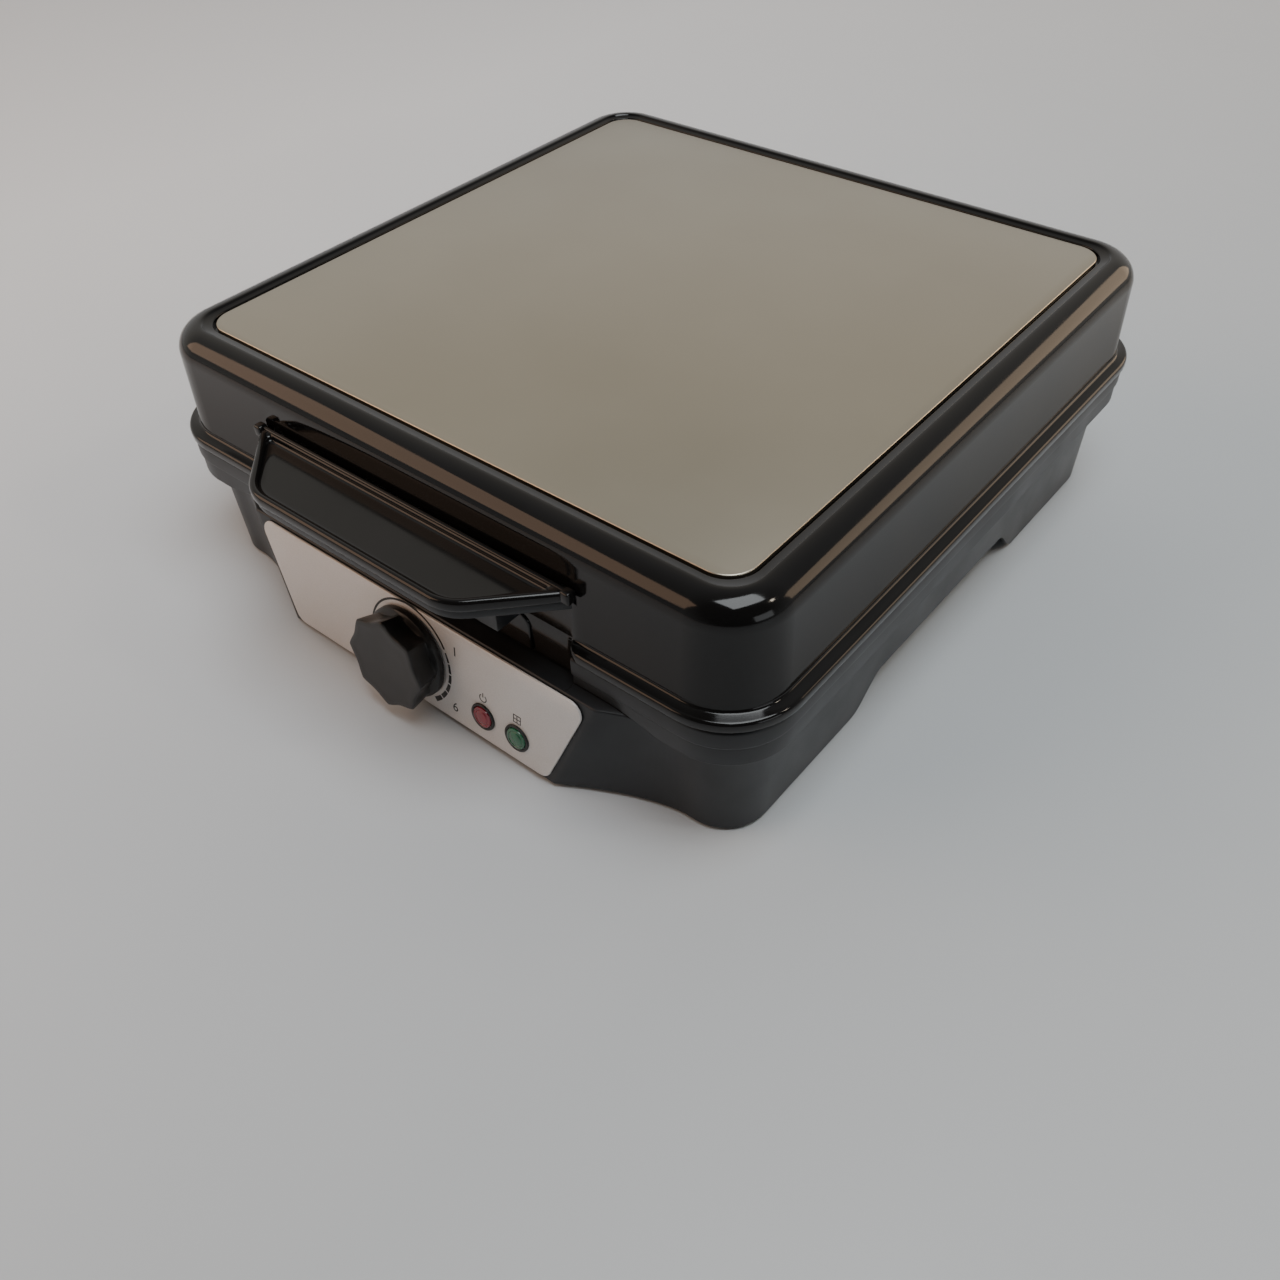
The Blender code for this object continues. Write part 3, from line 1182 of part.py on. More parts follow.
def main():
    global parts, tools
    clear_scene()
    parts = add_collection("waffle_maker")
    tools = add_collection("cutters")

    gloss = material("gloss_black", (0.012, 0.011, 0.010), 0.12)
    satin = material("satin_black", (0.030, 0.032, 0.034), 0.35)
    steel = material("brushed_steel", (0.48, 0.45, 0.40), 0.30, 1.0)
    silver = material("silver_label", (0.56, 0.55, 0.54), 0.45, 0.3)
    cast = material("coated_cast_aluminium", (0.035, 0.035, 0.037), 0.45, 0.2)
    sheet = material("aluminium_sheet", (0.75, 0.76, 0.77), 0.35, 1.0)
    zinc = material("zinc_plated_steel", (0.60, 0.60, 0.58), 0.35, 1.0)
    heater = material("heater_sheath", (0.30, 0.30, 0.31), 0.45, 1.0)
    rubber = material("rubber", (0.02, 0.02, 0.02), 0.8)
    moulded = material("terminal_plastic", (0.80, 0.79, 0.74), 0.5)
    red = material("red_lens", (0.55, 0.02, 0.04), 0.2)
    green = material("green_lens", (0.01, 0.30, 0.08), 0.2)
    bulb = material("bulb_glass", (0.85, 0.75, 0.60), 0.1)
    brown = material("brown_wire", (0.25, 0.10, 0.04), 0.4)
    blue = material("blue_wire", (0.04, 0.12, 0.45), 0.4)

    make_base_shell(satin)
    make_bottom_cover(satin)
    make_feet(rubber)
    make_cover_screws(zinc)
    make_waffle_plate("lower_waffle_plate", BASE_TOP_Z, 1, cast)
    make_heat_shield("lower_heat_shield", LOWER_BACK_Z - GAP, 1, sheet)
    make_plate_screws("lower", LOWER_BACK_Z - GAP, 1, zinc)
    make_heater("lower_heater", LOWER_BACK_Z - GAP - HEATER_R, heater)

    make_lid_shell(gloss)
    make_top_panel(steel)
    make_waffle_plate("upper_waffle_plate", LID_BOTTOM_Z, -1, cast)
    make_heat_shield("upper_heat_shield", UPPER_BACK_Z + GAP, -1, sheet)
    make_plate_screws("upper", UPPER_BACK_Z + GAP, -1, zinc)
    make_heater("upper_heater", UPPER_BACK_Z + GAP + HEATER_R, heater)
    make_handle(gloss, satin)
    make_handle_screws(zinc)
    make_hinges(satin, zinc)

    make_label(silver)
    make_knob(satin, zinc)
    make_thermostat(moulded)
    make_lamp("power", LAMP_XS["power"], red, satin, bulb)
    make_lamp("ready", LAMP_XS["ready"], green, satin, bulb)
    make_gland(rubber)
    make_mains_parts(moulded, bulb, brown, blue)
    centre_on_origin()


main()
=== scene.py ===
"""Finished look of a square four-waffle maker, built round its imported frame.

Pieces are laid out about the middle of the steel panel, in metres, and moved to their
place in the frame as they are finished.
"""

import json
import math

import bmesh
import bpy
from mathutils import Matrix, Vector


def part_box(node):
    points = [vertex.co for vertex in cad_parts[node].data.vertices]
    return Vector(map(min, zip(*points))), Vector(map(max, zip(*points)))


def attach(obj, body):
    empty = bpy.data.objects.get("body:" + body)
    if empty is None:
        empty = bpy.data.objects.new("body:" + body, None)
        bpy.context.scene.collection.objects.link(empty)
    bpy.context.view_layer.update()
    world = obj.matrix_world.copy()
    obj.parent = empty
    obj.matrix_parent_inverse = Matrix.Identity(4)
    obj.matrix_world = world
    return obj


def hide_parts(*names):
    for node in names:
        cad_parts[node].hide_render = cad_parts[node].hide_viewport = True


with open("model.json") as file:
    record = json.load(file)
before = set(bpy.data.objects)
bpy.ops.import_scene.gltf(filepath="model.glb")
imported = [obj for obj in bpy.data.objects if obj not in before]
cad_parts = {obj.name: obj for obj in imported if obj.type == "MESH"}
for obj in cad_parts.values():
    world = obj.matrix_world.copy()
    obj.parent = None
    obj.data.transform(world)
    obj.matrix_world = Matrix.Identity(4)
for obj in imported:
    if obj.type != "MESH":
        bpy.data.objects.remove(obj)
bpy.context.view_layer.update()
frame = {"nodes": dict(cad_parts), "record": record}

MM = 0.001
CORNER_STEPS = 14

# ---------------------------------------------------------------- sizes from the frame

panel_low, panel_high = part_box("lid_top_panel")
lid_low, lid_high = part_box("lid_shell")
base_low, base_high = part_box("base_shell")
MIDDLE_Y = (panel_low.y + panel_high.y) / 2
TOP_Z = panel_high.z
PANEL_HALF = (panel_high.x - panel_low.x) / 2
PANEL_T = panel_high.z - panel_low.z
APRON_BOTTOM_Z = lid_low.z
LID_FLANGE_HALF = lid_high.x
BASE_FLANGE_HALF = base_high.x
BASE_TOP_Z = base_high.z
SHELL_BOTTOM_Z = base_low.z
LID_BOTTOM_Z = BASE_TOP_Z + 0.6 * MM
PLATE_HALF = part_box("lower_waffle_plate")[1].x

# Outlines that the frame's boxes don't give
LID_HALF = LID_FLANGE_HALF - 5.3 * MM
LID_RADIUS = 22 * MM
BASE_HALF = BASE_FLANGE_HALF - 6.4 * MM
BASE_RADIUS = 18 * MM
DECK_HALF = PLATE_HALF + 1.5 * MM
DECK_RADIUS = 3 * MM
DECK = 2.2 * MM
WALL = 2.4 * MM
BASE_DRAFT = 1.6 * MM
BASE_SHOULDER_Z = BASE_TOP_Z - 16.7 * MM
BASE_FLANGE_H = 15.2 * MM      # a bead with a plain band under it
BASE_BEAD_H = 7.6 * MM
BASE_BAND_IN = 0.7 * MM
SHOULDER_OUT = 9.9 * MM
SHOULDER_H = 9 * MM
CREST = 0.6 * MM
PANEL_RADIUS = 10 * MM
PANEL_CLEAR = 1.2 * MM
PANEL_SEAT = 16 * MM           # ledge under the panel's edge
SHOULDER_STEPS = 14

# Apron and console on the front
APRON_HALF = 70 * MM
APRON_GAP = 0.9 * MM
APRON_SWELL = 6 * MM           # from the apron's edge to the full flange
PAD_HALF = 51.4 * MM
PAD_TOP_Z = 60.4 * MM
CONSOLE_TILT = math.radians(7.5)
CONSOLE_OUT = 10.1 * MM
CONSOLE_TOP_Z = BASE_SHOULDER_Z + 4.2 * MM
BAND_ABOVE_CONSOLE = 0.9 * MM
CONSOLE_BOTTOM_Z = 1.4 * MM
CONSOLE_TOP_HALF = 84 * MM
CONSOLE_BOTTOM_HALF = 67.5 * MM
CONSOLE_FADE_X = BASE_HALF - 22 * MM
ARCH_Z = 14 * MM
ARCH_HALF = 44 * MM
ARCH_RAMP = 17 * MM


# ---------------------------------------------------------------- node helpers

def new_material(name, colour, roughness, **constants):
    """A Principled material; constants are set straight on the shader's sockets."""
    mat = bpy.data.materials.new(name)
    mat.use_nodes = True
    shader = mat.node_tree.nodes["Principled BSDF"]
    shader.inputs["Base Color"].default_value = (*colour, 1)
    shader.inputs["Roughness"].default_value = roughness
    for socket, value in constants.items():
        shader.inputs[socket.replace("_", " ")].default_value = value
    return mat


def link(mat, output, node, socket):
    mat.node_tree.links.new(output, node.inputs[socket])


def shader_of(mat):
    return mat.node_tree.nodes["Principled BSDF"]


def noise(mat, scale, detail=4.0, stretch=(1, 1, 1)):
    """Noise in the piece's own space; scale counts per metre."""
    nodes = mat.node_tree.nodes
    place = nodes.new("ShaderNodeTexCoord")
    mapping = nodes.new("ShaderNodeMapping")
    mapping.inputs["Scale"].default_value = stretch
    link(mat, place.outputs["Object"], mapping, "Vector")
    node = nodes.new("ShaderNodeTexNoise")
    node.inputs["Scale"].default_value = scale
    node.inputs["Detail"].default_value = detail
    link(mat, mapping.outputs["Vector"], node, "Vector")
    return node.outputs["Fac"]


def span(mat, value, low, high, start=0.3, end=0.7):
    """Maps the value's middle stretch to the range low to high."""
    node = mat.node_tree.nodes.new("ShaderNodeMapRange")
    node.inputs["From Min"].default_value = start
    node.inputs["From Max"].default_value = end
    node.inputs["To Min"].default_value = low
    node.inputs["To Max"].default_value = high
    link(mat, value, node, "Value")
    return node.outputs["Result"]


def tint(mat, value, dark, light, start=0.3, end=0.7):
    """Colours the surface between two tones by the value."""
    ramp = mat.node_tree.nodes.new("ShaderNodeValToRGB")
    ramp.color_ramp.elements[0].position = start
    ramp.color_ramp.elements[0].color = (*dark, 1)
    ramp.color_ramp.elements[1].position = end
    ramp.color_ramp.elements[1].color = (*light, 1)
    link(mat, value, ramp, "Fac")
    link(mat, ramp.outputs["Color"], shader_of(mat), "Base Color")


def roughen(mat, value, low, high):
    link(mat, span(mat, value, low, high), shader_of(mat), "Roughness")


def relief(mat, *layers):
    """Chains bumps, each (height, strength, depth in metres), onto the shader's normal."""
    normal = None
    for height, strength, depth in layers:
        node = mat.node_tree.nodes.new("ShaderNodeBump")
        node.inputs["Strength"].default_value = strength
        node.inputs["Distance"].default_value = depth
        link(mat, height, node, "Height")
        if normal is not None:
            link(mat, normal, node, "Normal")
        normal = node.outputs["Normal"]
    link(mat, normal, shader_of(mat), "Normal")


# ---------------------------------------------------------------- materials

def gloss_black():
    """Polished black moulding with faint smudges and the slight waviness of a moulding."""
    mat = new_material("polished_black_plastic", (0.007, 0.0065, 0.0065), 0.1, IOR=1.42)
    tint(mat, noise(mat, 18), (0.0045, 0.0043, 0.0043), (0.008, 0.0074, 0.0072))
    roughen(mat, noise(mat, 45, 6), 0.06, 0.13)
    relief(mat, (noise(mat, 25, 1), 0.12, 0.3 * MM), (noise(mat, 900, 2), 0.03, 0.05 * MM))
    return mat


def satin_black(name, dark, light, low, high):
    """Moulded plastic with a fine spark-eroded grain."""
    mat = new_material(name, dark, high, IOR=1.42)
    tint(mat, noise(mat, 60, 5), dark, light)
    roughen(mat, noise(mat, 35, 5), low, high)
    relief(mat, (noise(mat, 2600, 2), 0.22, 0.05 * MM), (noise(mat, 30, 1), 0.05, 0.3 * MM))
    return mat


def panel_steel():
    """Fine-satin stainless sheet: hairlines across, cloudy handling marks."""
    mat = new_material("satin_stainless_steel", (0.485, 0.445, 0.36), 0.32, Metallic=1.0)
    tint(mat, noise(mat, 9, 5), (0.46, 0.42, 0.34), (0.505, 0.465, 0.38))
    roughen(mat, noise(mat, 14, 7), 0.29, 0.36)
    lines = noise(mat, 1.0, 3, (60, 5200, 1))
    relief(mat, (lines, 0.08, 0.02 * MM), (noise(mat, 12, 2), 0.03, 0.4 * MM))
    return mat


def label_foil():
    """Matte silver foil with a fine metallic grain."""
    mat = new_material("silver_foil", (0.74, 0.70, 0.67), 0.45, Metallic=0.3)
    tint(mat, noise(mat, 3500, 2), (0.69, 0.655, 0.625), (0.78, 0.74, 0.71))
    roughen(mat, noise(mat, 70, 5), 0.40, 0.52)
    relief(mat, (noise(mat, 3500, 2), 0.06, 0.02 * MM))
    return mat


def bare_metal(name, dark, light, low, high, stretch=(1, 1, 1), scale=400):
    """Plain metal with tone and gloss that vary along its grain."""
    mat = new_material(name, light, high, Metallic=1.0)
    tint(mat, noise(mat, 60, 5), dark, light)
    roughen(mat, noise(mat, scale, 4, stretch), low, high)
    relief(mat, (noise(mat, scale, 3, stretch), 0.08, 0.03 * MM))
    return mat


def coated_plate():
    """Speckled dark non-stick coating over cast aluminium."""
    mat = new_material("non_stick_coating", (0.03, 0.03, 0.031), 0.4, Metallic=0.15)
    tint(mat, noise(mat, 1500, 3), (0.022, 0.022, 0.023), (0.075, 0.075, 0.078), 0.45, 0.75)
    roughen(mat, noise(mat, 90, 6), 0.30, 0.46)
    relief(mat, (noise(mat, 1200, 3), 0.12, 0.05 * MM), (noise(mat, 60, 2), 0.08, 0.2 * MM))
    return mat


def rubber():
    mat = new_material("moulded_rubber", (0.018, 0.018, 0.018), 0.8)
    tint(mat, noise(mat, 120, 5), (0.013, 0.013, 0.013), (0.028, 0.027, 0.026))
    roughen(mat, noise(mat, 90, 4), 0.68, 0.88)
    relief(mat, (noise(mat, 1800, 3), 0.3, 0.06 * MM))
    return mat


def lens(name, dark, light):
    """Clear tinted plastic with a deeper tone in its body."""
    mat = new_material(name, light, 0.12, IOR=1.49, Coat_Weight=0.6, Coat_Roughness=0.04)
    tint(mat, noise(mat, 260, 2), dark, light)
    roughen(mat, noise(mat, 500, 3), 0.14, 0.26)
    relief(mat, (noise(mat, 800, 2), 0.05, 0.05 * MM))
    return mat


def plastic(name, dark, light, low, high):
    """Plain coloured plastic or wire insulation."""
    mat = new_material(name, light, high)
    tint(mat, noise(mat, 90, 4), dark, light)
    roughen(mat, noise(mat, 60, 4), low, high)
    relief(mat, (noise(mat, 1500, 2), 0.12, 0.04 * MM))
    return mat


def printing_ink():
    mat = new_material("printing_ink", (0.012, 0.011, 0.011), 0.5)
    tint(mat, noise(mat, 900, 3), (0.010, 0.009, 0.009), (0.030, 0.028, 0.027))
    roughen(mat, noise(mat, 500, 3), 0.42, 0.58)
    return mat


def floor_surface():
    """Pale smooth tabletop, with painted light brightening it towards its left."""
    mat = new_material("pale_tabletop", (0.555, 0.58, 0.60), 0.5)
    nodes = mat.node_tree.nodes
    # painted light: the tabletop's colour grows paler towards the left, standing in for light falling
    # brighter there
    leftward = nodes.new("ShaderNodeVectorMath")
    leftward.operation = "DOT_PRODUCT"
    leftward.inputs[1].default_value = (-1.5, 0.25, 0)
    link(mat, nodes.new("ShaderNodeTexCoord").outputs["Object"], leftward, 0)
    painted_light = nodes.new("ShaderNodeMath")
    painted_light.operation = "ADD"
    link(mat, leftward.outputs["Value"], painted_light, 0)
    link(mat, span(mat, noise(mat, 6, 4), 0.25, 0.29), painted_light, 1)
    tint(mat, painted_light.outputs[0], (0.525, 0.565, 0.60), (0.92, 0.95, 0.99), 0, 1)
    roughen(mat, noise(mat, 20, 4), 0.42, 0.55)
    relief(mat, (noise(mat, 500, 3), 0.03, 0.05 * MM))
    return mat


MATERIALS = {
    "gloss_black": gloss_black(),
    "satin_black": satin_black("satin_black_plastic", (0.014, 0.015, 0.0165),
                               (0.021, 0.0225, 0.025), 0.30, 0.42),
    "knob_black": satin_black("knob_plastic", (0.016, 0.0155, 0.015), (0.026, 0.025, 0.0245),
                              0.30, 0.42),
    "hinge_black": satin_black("hinge_enamel", (0.018, 0.018, 0.019), (0.032, 0.032, 0.033),
                               0.26, 0.40),
    "lamp_holder_black": satin_black("lamp_holder_plastic", (0.014, 0.014, 0.014),
                                     (0.022, 0.022, 0.022), 0.22, 0.34),
    "brushed_panel": panel_steel(),
    "silver_label": label_foil(),
    "coated_plate": coated_plate(),
    "shield_sheet": bare_metal("aluminium_sheet", (0.66, 0.67, 0.68), (0.80, 0.81, 0.82),
                               0.26, 0.40, (1, 14, 1)),
    "heater_sheath": bare_metal("heater_sheath", (0.20, 0.19, 0.19), (0.36, 0.35, 0.34),
                                0.34, 0.52),
    "plated_steel": bare_metal("zinc_plating", (0.50, 0.50, 0.49), (0.70, 0.70, 0.68),
                               0.22, 0.38),
    "rubber": rubber(),
    "red_lens": lens("red_lens", (0.19, 0.006, 0.018), (0.28, 0.012, 0.032)),
    "green_lens": lens("green_lens", (0.005, 0.08, 0.032), (0.012, 0.14, 0.058)),
    "bulb_glass": lens("bulb_glass", (0.70, 0.60, 0.46), (0.85, 0.78, 0.66)),
    "terminal_plastic": plastic("terminal_plastic", (0.68, 0.66, 0.60), (0.80, 0.79, 0.74),
                                0.40, 0.55),
    "wire_brown": plastic("brown_insulation", (0.16, 0.06, 0.025), (0.25, 0.10, 0.04),
                          0.34, 0.46),
    "wire_blue": plastic("blue_insulation", (0.03, 0.08, 0.30), (0.05, 0.13, 0.45),
                         0.34, 0.46),
}
INK = printing_ink()


# ---------------------------------------------------------------- mesh helpers

def mesh_object(name, bm, mat, sharp_angle=38):
    bmesh.ops.recalc_face_normals(bm, faces=bm.faces)
    mesh = bpy.data.meshes.new(name)
    bm.to_mesh(mesh)
    bm.free()
    mesh.materials.append(mat)
    mesh.shade_smooth()
    mesh.set_sharp_from_angle(angle=math.radians(sharp_angle))
    obj = bpy.data.objects.new(name, mesh)
    bpy.context.scene.collection.objects.link(obj)
    return obj


def soften_edges(obj, width, segments=2, angle=25, sharp_angle=38):
    """Bevels the edges that turn by more than the angle, for good."""
    modifier = obj.modifiers.new("edges", 'BEVEL')
    modifier.width = width
    modifier.segments = segments
    modifier.limit_method = 'ANGLE'
    modifier.angle_limit = math.radians(angle)
    bpy.context.view_layer.update()
    evaluated = obj.evaluated_get(bpy.context.evaluated_depsgraph_get())
    mesh = bpy.data.meshes.new_from_object(evaluated)
    obj.modifiers.clear()
    obj.data = mesh
    mesh.shade_smooth()
    mesh.set_sharp_from_angle(angle=math.radians(sharp_angle))


def settle(obj, body, slot, *nodes):
    """Moves a piece from the panel's middle into the frame, hangs it under its body and hides the
    nodes it stands for.
    """
    obj.data.transform(Matrix.Translation((0, MIDDLE_Y, 0)) @ obj.matrix_world)
    obj.matrix_world = Matrix.Identity(4)
    register(obj, body, slot, *nodes)


def put(obj, place):
    obj.matrix_world = place
    bpy.context.view_layer.update()
    return obj


def register(obj, body, slot, *nodes):
    """Hangs a piece under its body's empty and hides the nodes it stands for; the slot is not used."""
    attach(obj, body)
    if nodes:
        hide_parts(*nodes)


def fillet(points, radii, steps=CORNER_STEPS):
    """Rounds the corners of a closed outline, one radius to each corner."""
    outline = []
    count = len(points)
    for i, (point, radius) in enumerate(zip(points, radii)):
        here = Vector(point)
        before = (Vector(points[i - 1]) - here).normalized()
        after = (Vector(points[(i + 1) % count]) - here).normalized()
        if radius <= 0:
            outline.append(here)
            continue
        half = before.angle(after) / 2
        centre = here + (before + after).normalized() * radius / math.sin(half)
        start = here + before * radius / math.tan(half) - centre
        end = here + after * radius / math.tan(half) - centre
        sweep = start.angle_signed(end)
        for k in range(steps + 1):
            outline.append(centre + Matrix.Rotation(-sweep * k / steps, 2) @ start)
    return outline


def rectangle(half_x, half_y):
    return [(-half_x, -half_y), (half_x, -half_y), (half_x, half_y), (-half_x, half_y)]


def loft(name, rings, mat, closed=False, sharp_angle=38):
    """Skins rings of equal count; closed joins the last ring to the first, else caps them."""
    bm = bmesh.new()
    rows = [[bm.verts.new(co) for co in ring] for ring in rings]
    pairs = list(zip(rows, rows[1:]))
    if closed:
        pairs.append((rows[-1], rows[0]))
    count = len(rows[0])
    for lower, upper in pairs:
        for i in range(count):
            j = (i + 1) % count
            bm.faces.new((lower[i], lower[j], upper[j], upper[i]))
    if not closed:
        bm.faces.new(rows[0])
        bm.faces.new(rows[-1])
    return mesh_object(name, bm, mat, sharp_angle)


def arc(centre, radius, start, end, steps=6):
    """Points (across, up) round a circle, from one angle to another in degrees."""
    points = []
    for k in range(steps + 1):
        angle = math.radians(start + (end - start) * k / steps)
        points.append((centre[0] + radius * math.cos(angle),
                       centre[1] + radius * math.sin(angle)))
    return points


def rounded_block(name, low, high, radius, mat, segments=3):
    bm = bmesh.new()
    bmesh.ops.create_cube(bm, size=1.0)
    bmesh.ops.scale(bm, vec=Vector(high) - Vector(low), verts=bm.verts)
    bmesh.ops.translate(bm, vec=(Vector(low) + Vector(high)) / 2, verts=bm.verts)
    bmesh.ops.bevel(bm, geom=bm.edges, offset=radius, segments=segments, profile=0.5,
                    affect='EDGES')
    return mesh_object(name, bm, mat)


def turned(name, profile, place, mat, steps=64):
    """A solid of revolution about the local Z; the profile is (radius, height) pairs."""
    bm = bmesh.new()
    rows = []
    for radius, height in profile:
        if radius == 0:
            rows.append([bm.verts.new((0, 0, height))])
            continue
        row = []
        for k in range(steps):
            angle = 2 * math.pi * k / steps
            row.append(bm.verts.new((radius * math.cos(angle), radius * math.sin(angle), height)))
        rows.append(row)
    for lower, upper in zip(rows, rows[1:]):
        for i in range(steps):
            j = (i + 1) % steps
            corners = [lower[i % len(lower)], lower[j % len(lower)],
                       upper[j % len(upper)], upper[i % len(upper)]]
            bm.faces.new(list(dict.fromkeys(corners)))
    if len(rows[0]) > 1 and len(rows[-1]) > 1:
        for i in range(steps):
            j = (i + 1) % steps
            bm.faces.new((rows[-1][i], rows[-1][j], rows[0][j], rows[0][i]))
    return put(mesh_object(name, bm, mat), place)


# ---------------------------------------------------------------- shell outlines

def spread(*stretches):
    """Distances from the middle outwards; each stretch is (end, number of steps)."""
    values = [0.0]
    for end, steps in stretches:
        start = values[-1]
        values += [start + (end - start) * (k + 1) / steps for k in range(steps)]
    return [-v for v in reversed(values[1:])] + values


STRAIGHT = BASE_HALF - BASE_RADIUS - MM
FRONT_XS = spread((60 * MM, 10), (APRON_HALF, 4), (APRON_HALF + 0.8 * MM, 1),
                  (APRON_HALF + APRON_SWELL, 9), (CONSOLE_TOP_HALF, 5), (STRAIGHT, 16))
SIDE_XS = spread((ARCH_HALF - 4 * MM, 5), (ARCH_HALF + ARCH_RAMP + 3 * MM, 22), (STRAIGHT, 6))


def ring(half, radius, z, shape=None):
    """One level of a shell, front first and then round; shape may move any point.

    shape(side, along, point) gets the side's name, the distance along it and the point.
    """
    centre = half - radius
    squeeze = min(1.0, (centre - 0.5 * MM) / STRAIGHT)
    shape = shape or (lambda side, along, point: point)
    points = []

    def straight(side, distances, spot):
        for t in distances:
            points.append(shape(side, t * squeeze, Vector((*spot(t * squeeze), z))))

    def corner(sx, sy, start):
        for k in range(CORNER_STEPS + 1):
            angle = math.radians(start + 90 * k / CORNER_STEPS)
            spot = Vector((sx * centre + radius * math.cos(angle),
                           sy * centre + radius * math.sin(angle), z))
            points.append(shape("corner", 0.0, spot))

    straight("front", FRONT_XS, lambda t: (t, -half))
    corner(1, -1, -90)
    straight("right", SIDE_XS, lambda t: (half, t))
    corner(1, 1, 0)
    straight("back", SIDE_XS, lambda t: (-t, half))
    corner(-1, 1, 90)
    straight("left", SIDE_XS, lambda t: (-half, -t))
    corner(-1, -1, 180)
    return points


def smooth_step(t):
    t = min(max(t, 0.0), 1.0)
    return t * t * (3 - 2 * t)


# ---------------------------------------------------------------- lid

def apron_shape(half, apron_half, apron_z=None):
    """Front points run down the apron in the middle and swell to the flange beside it."""
    def shape(side, along, point):
        if side != "front":
            return point
        over = min(max((abs(along) - APRON_HALF) / APRON_SWELL, 0), 1)
        swell = math.sqrt(1 - (1 - over) ** 2)
        y = apron_half + (half - apron_half) * swell
        inside = abs(along) <= APRON_HALF + 0.1 * MM
        z = apron_z if inside and apron_z is not None else point.z
        return Vector((point.x, -y, z))
    return shape


def make_lid_shell():
    """Moulded lid: apron, broad flange bead, wall, rolled shoulder and panel recess."""
    foot = LID_HALF + 0.6 * MM
    flange = LID_FLANGE_HALF
    inner = LID_HALF - WALL
    crest = LID_HALF - SHOULDER_OUT
    rim = PANEL_HALF + PANEL_CLEAR
    ledge_z = TOP_Z - PANEL_T - 0.3 * MM
    spring_z = TOP_Z + CREST - SHOULDER_H

    def level(half, z, shape=None):
        return ring(half, LID_RADIUS + half - LID_HALF, z, shape)

    lower_bead = arc((flange - 1.0 * MM, LID_BOTTOM_Z + 1.0 * MM), 1.0 * MM, -90, -10, 6)
    upper_bead = arc((flange - 1.5 * MM, LID_BOTTOM_Z + 2.6 * MM), 1.5 * MM, 0, 84, 8)
    upper_bead += [(foot + 1.1 * MM, LID_BOTTOM_Z + 4.35 * MM),
                   (foot + 0.4 * MM, LID_BOTTOM_Z + 4.7 * MM)]
    rings = [ring(DECK_HALF, DECK_RADIUS, LID_BOTTOM_Z), level(inner, LID_BOTTOM_Z),
             level(inner + 0.4 * MM, LID_BOTTOM_Z,
                   apron_shape(inner + 0.4 * MM, inner, APRON_BOTTOM_Z))]
    soft = 0.6 * MM
    for half, z in lower_bead:
        drop = APRON_BOTTOM_Z + min(z - LID_BOTTOM_Z, soft)
        flush = LID_HALF - soft + math.sqrt(max(soft ** 2 - (drop - APRON_BOTTOM_Z - soft) ** 2, 0))
        tall = z - LID_BOTTOM_Z > 1.5 * MM
        rings.append(level(half, z, apron_shape(half, flush, z if tall else drop)))
    for half, z in upper_bead:
        rings.append(level(half, z, apron_shape(half, LID_HALF + 0.3 * MM, z)))
    rings.append(level(foot, LID_BOTTOM_Z + 5.5 * MM))
    for k in range(SHOULDER_STEPS + 1):
        angle = math.pi / 2 * k / SHOULDER_STEPS
        out = SHOULDER_OUT * (1 - math.cos(angle))
        rings.append(level(LID_HALF - out, spring_z + SHOULDER_H * math.sin(angle)))
    rings += [
        level(crest - 0.35 * MM, TOP_Z + CREST - 0.12 * MM),
        level(crest - 0.6 * MM, TOP_Z + 0.1 * MM),
        level(crest - 0.9 * MM, TOP_Z - 0.15 * MM),
        ring(rim + 0.4 * MM, PANEL_RADIUS + PANEL_CLEAR + 0.4 * MM, TOP_Z - 0.1 * MM),
        ring(rim + 0.1 * MM, PANEL_RADIUS + PANEL_CLEAR + 0.1 * MM, TOP_Z - 0.25 * MM),
        ring(rim, PANEL_RADIUS + PANEL_CLEAR, TOP_Z - 0.6 * MM),
        ring(rim, PANEL_RADIUS + PANEL_CLEAR, ledge_z),
        ring(rim - PANEL_SEAT, PANEL_RADIUS, ledge_z),
        ring(rim - PANEL_SEAT, PANEL_RADIUS, ledge_z - WALL),
        level(crest + WALL, ledge_z - WALL),
        level(inner, spring_z),
        level(inner, LID_BOTTOM_Z + DECK),
        ring(DECK_HALF, DECK_RADIUS, LID_BOTTOM_Z + DECK),
    ]
    shell = loft("lid_moulding", rings, MATERIALS["gloss_black"], closed=True, sharp_angle=50)
    settle(shell, "lid", "gloss_black", "lid_shell")


def make_apron_pad():
    """Shallow raised field on the apron, its two top corners rounded."""
    low_z = APRON_BOTTOM_Z + 0.5 * MM
    height = PAD_TOP_Z - low_z
    outline = fillet(rectangle(PAD_HALF, height / 2), [1 * MM, 1 * MM, 5 * MM, 5 * MM], 8)
    rings = []
    for inset, out in ((0, -0.6), (0, 0.45), (0.12, 0.75), (0.4, 0.95), (0.8, 1.0)):
        ratio_x = 1 - inset * MM / PAD_HALF
        ratio_z = 1 - inset * MM / (height / 2)
        rings.append([Vector((x * ratio_x, -(LID_HALF + out * MM),
                              low_z + height / 2 + z * ratio_z)) for x, z in outline])
    pad = loft("apron_pad", rings, MATERIALS["gloss_black"], sharp_angle=50)
    settle(pad, "lid", "gloss_black", "lid_shell")


def make_panel():
    """Steel panel with a fine rolled edge."""
    rings = []
    edge = 0.5 * MM
    levels = [(0, PANEL_T), (0, edge)]
    levels += [(edge * (1 - math.cos(turn)), edge * (1 - math.sin(turn)))
               for turn in (0.5, 1.0, math.pi / 2)]
    for inset, drop in levels:
        outline = fillet(rectangle(PANEL_HALF - inset, PANEL_HALF - inset),
                         [PANEL_RADIUS - inset] * 4)
        rings.append([Vector((x, y, TOP_Z - drop)) for x, y in outline])
    panel = loft("steel_panel", rings, MATERIALS["brushed_panel"], sharp_angle=50)
    settle(panel, "lid", "brushed_panel", "lid_top_panel")


# ---------------------------------------------------------------- handle

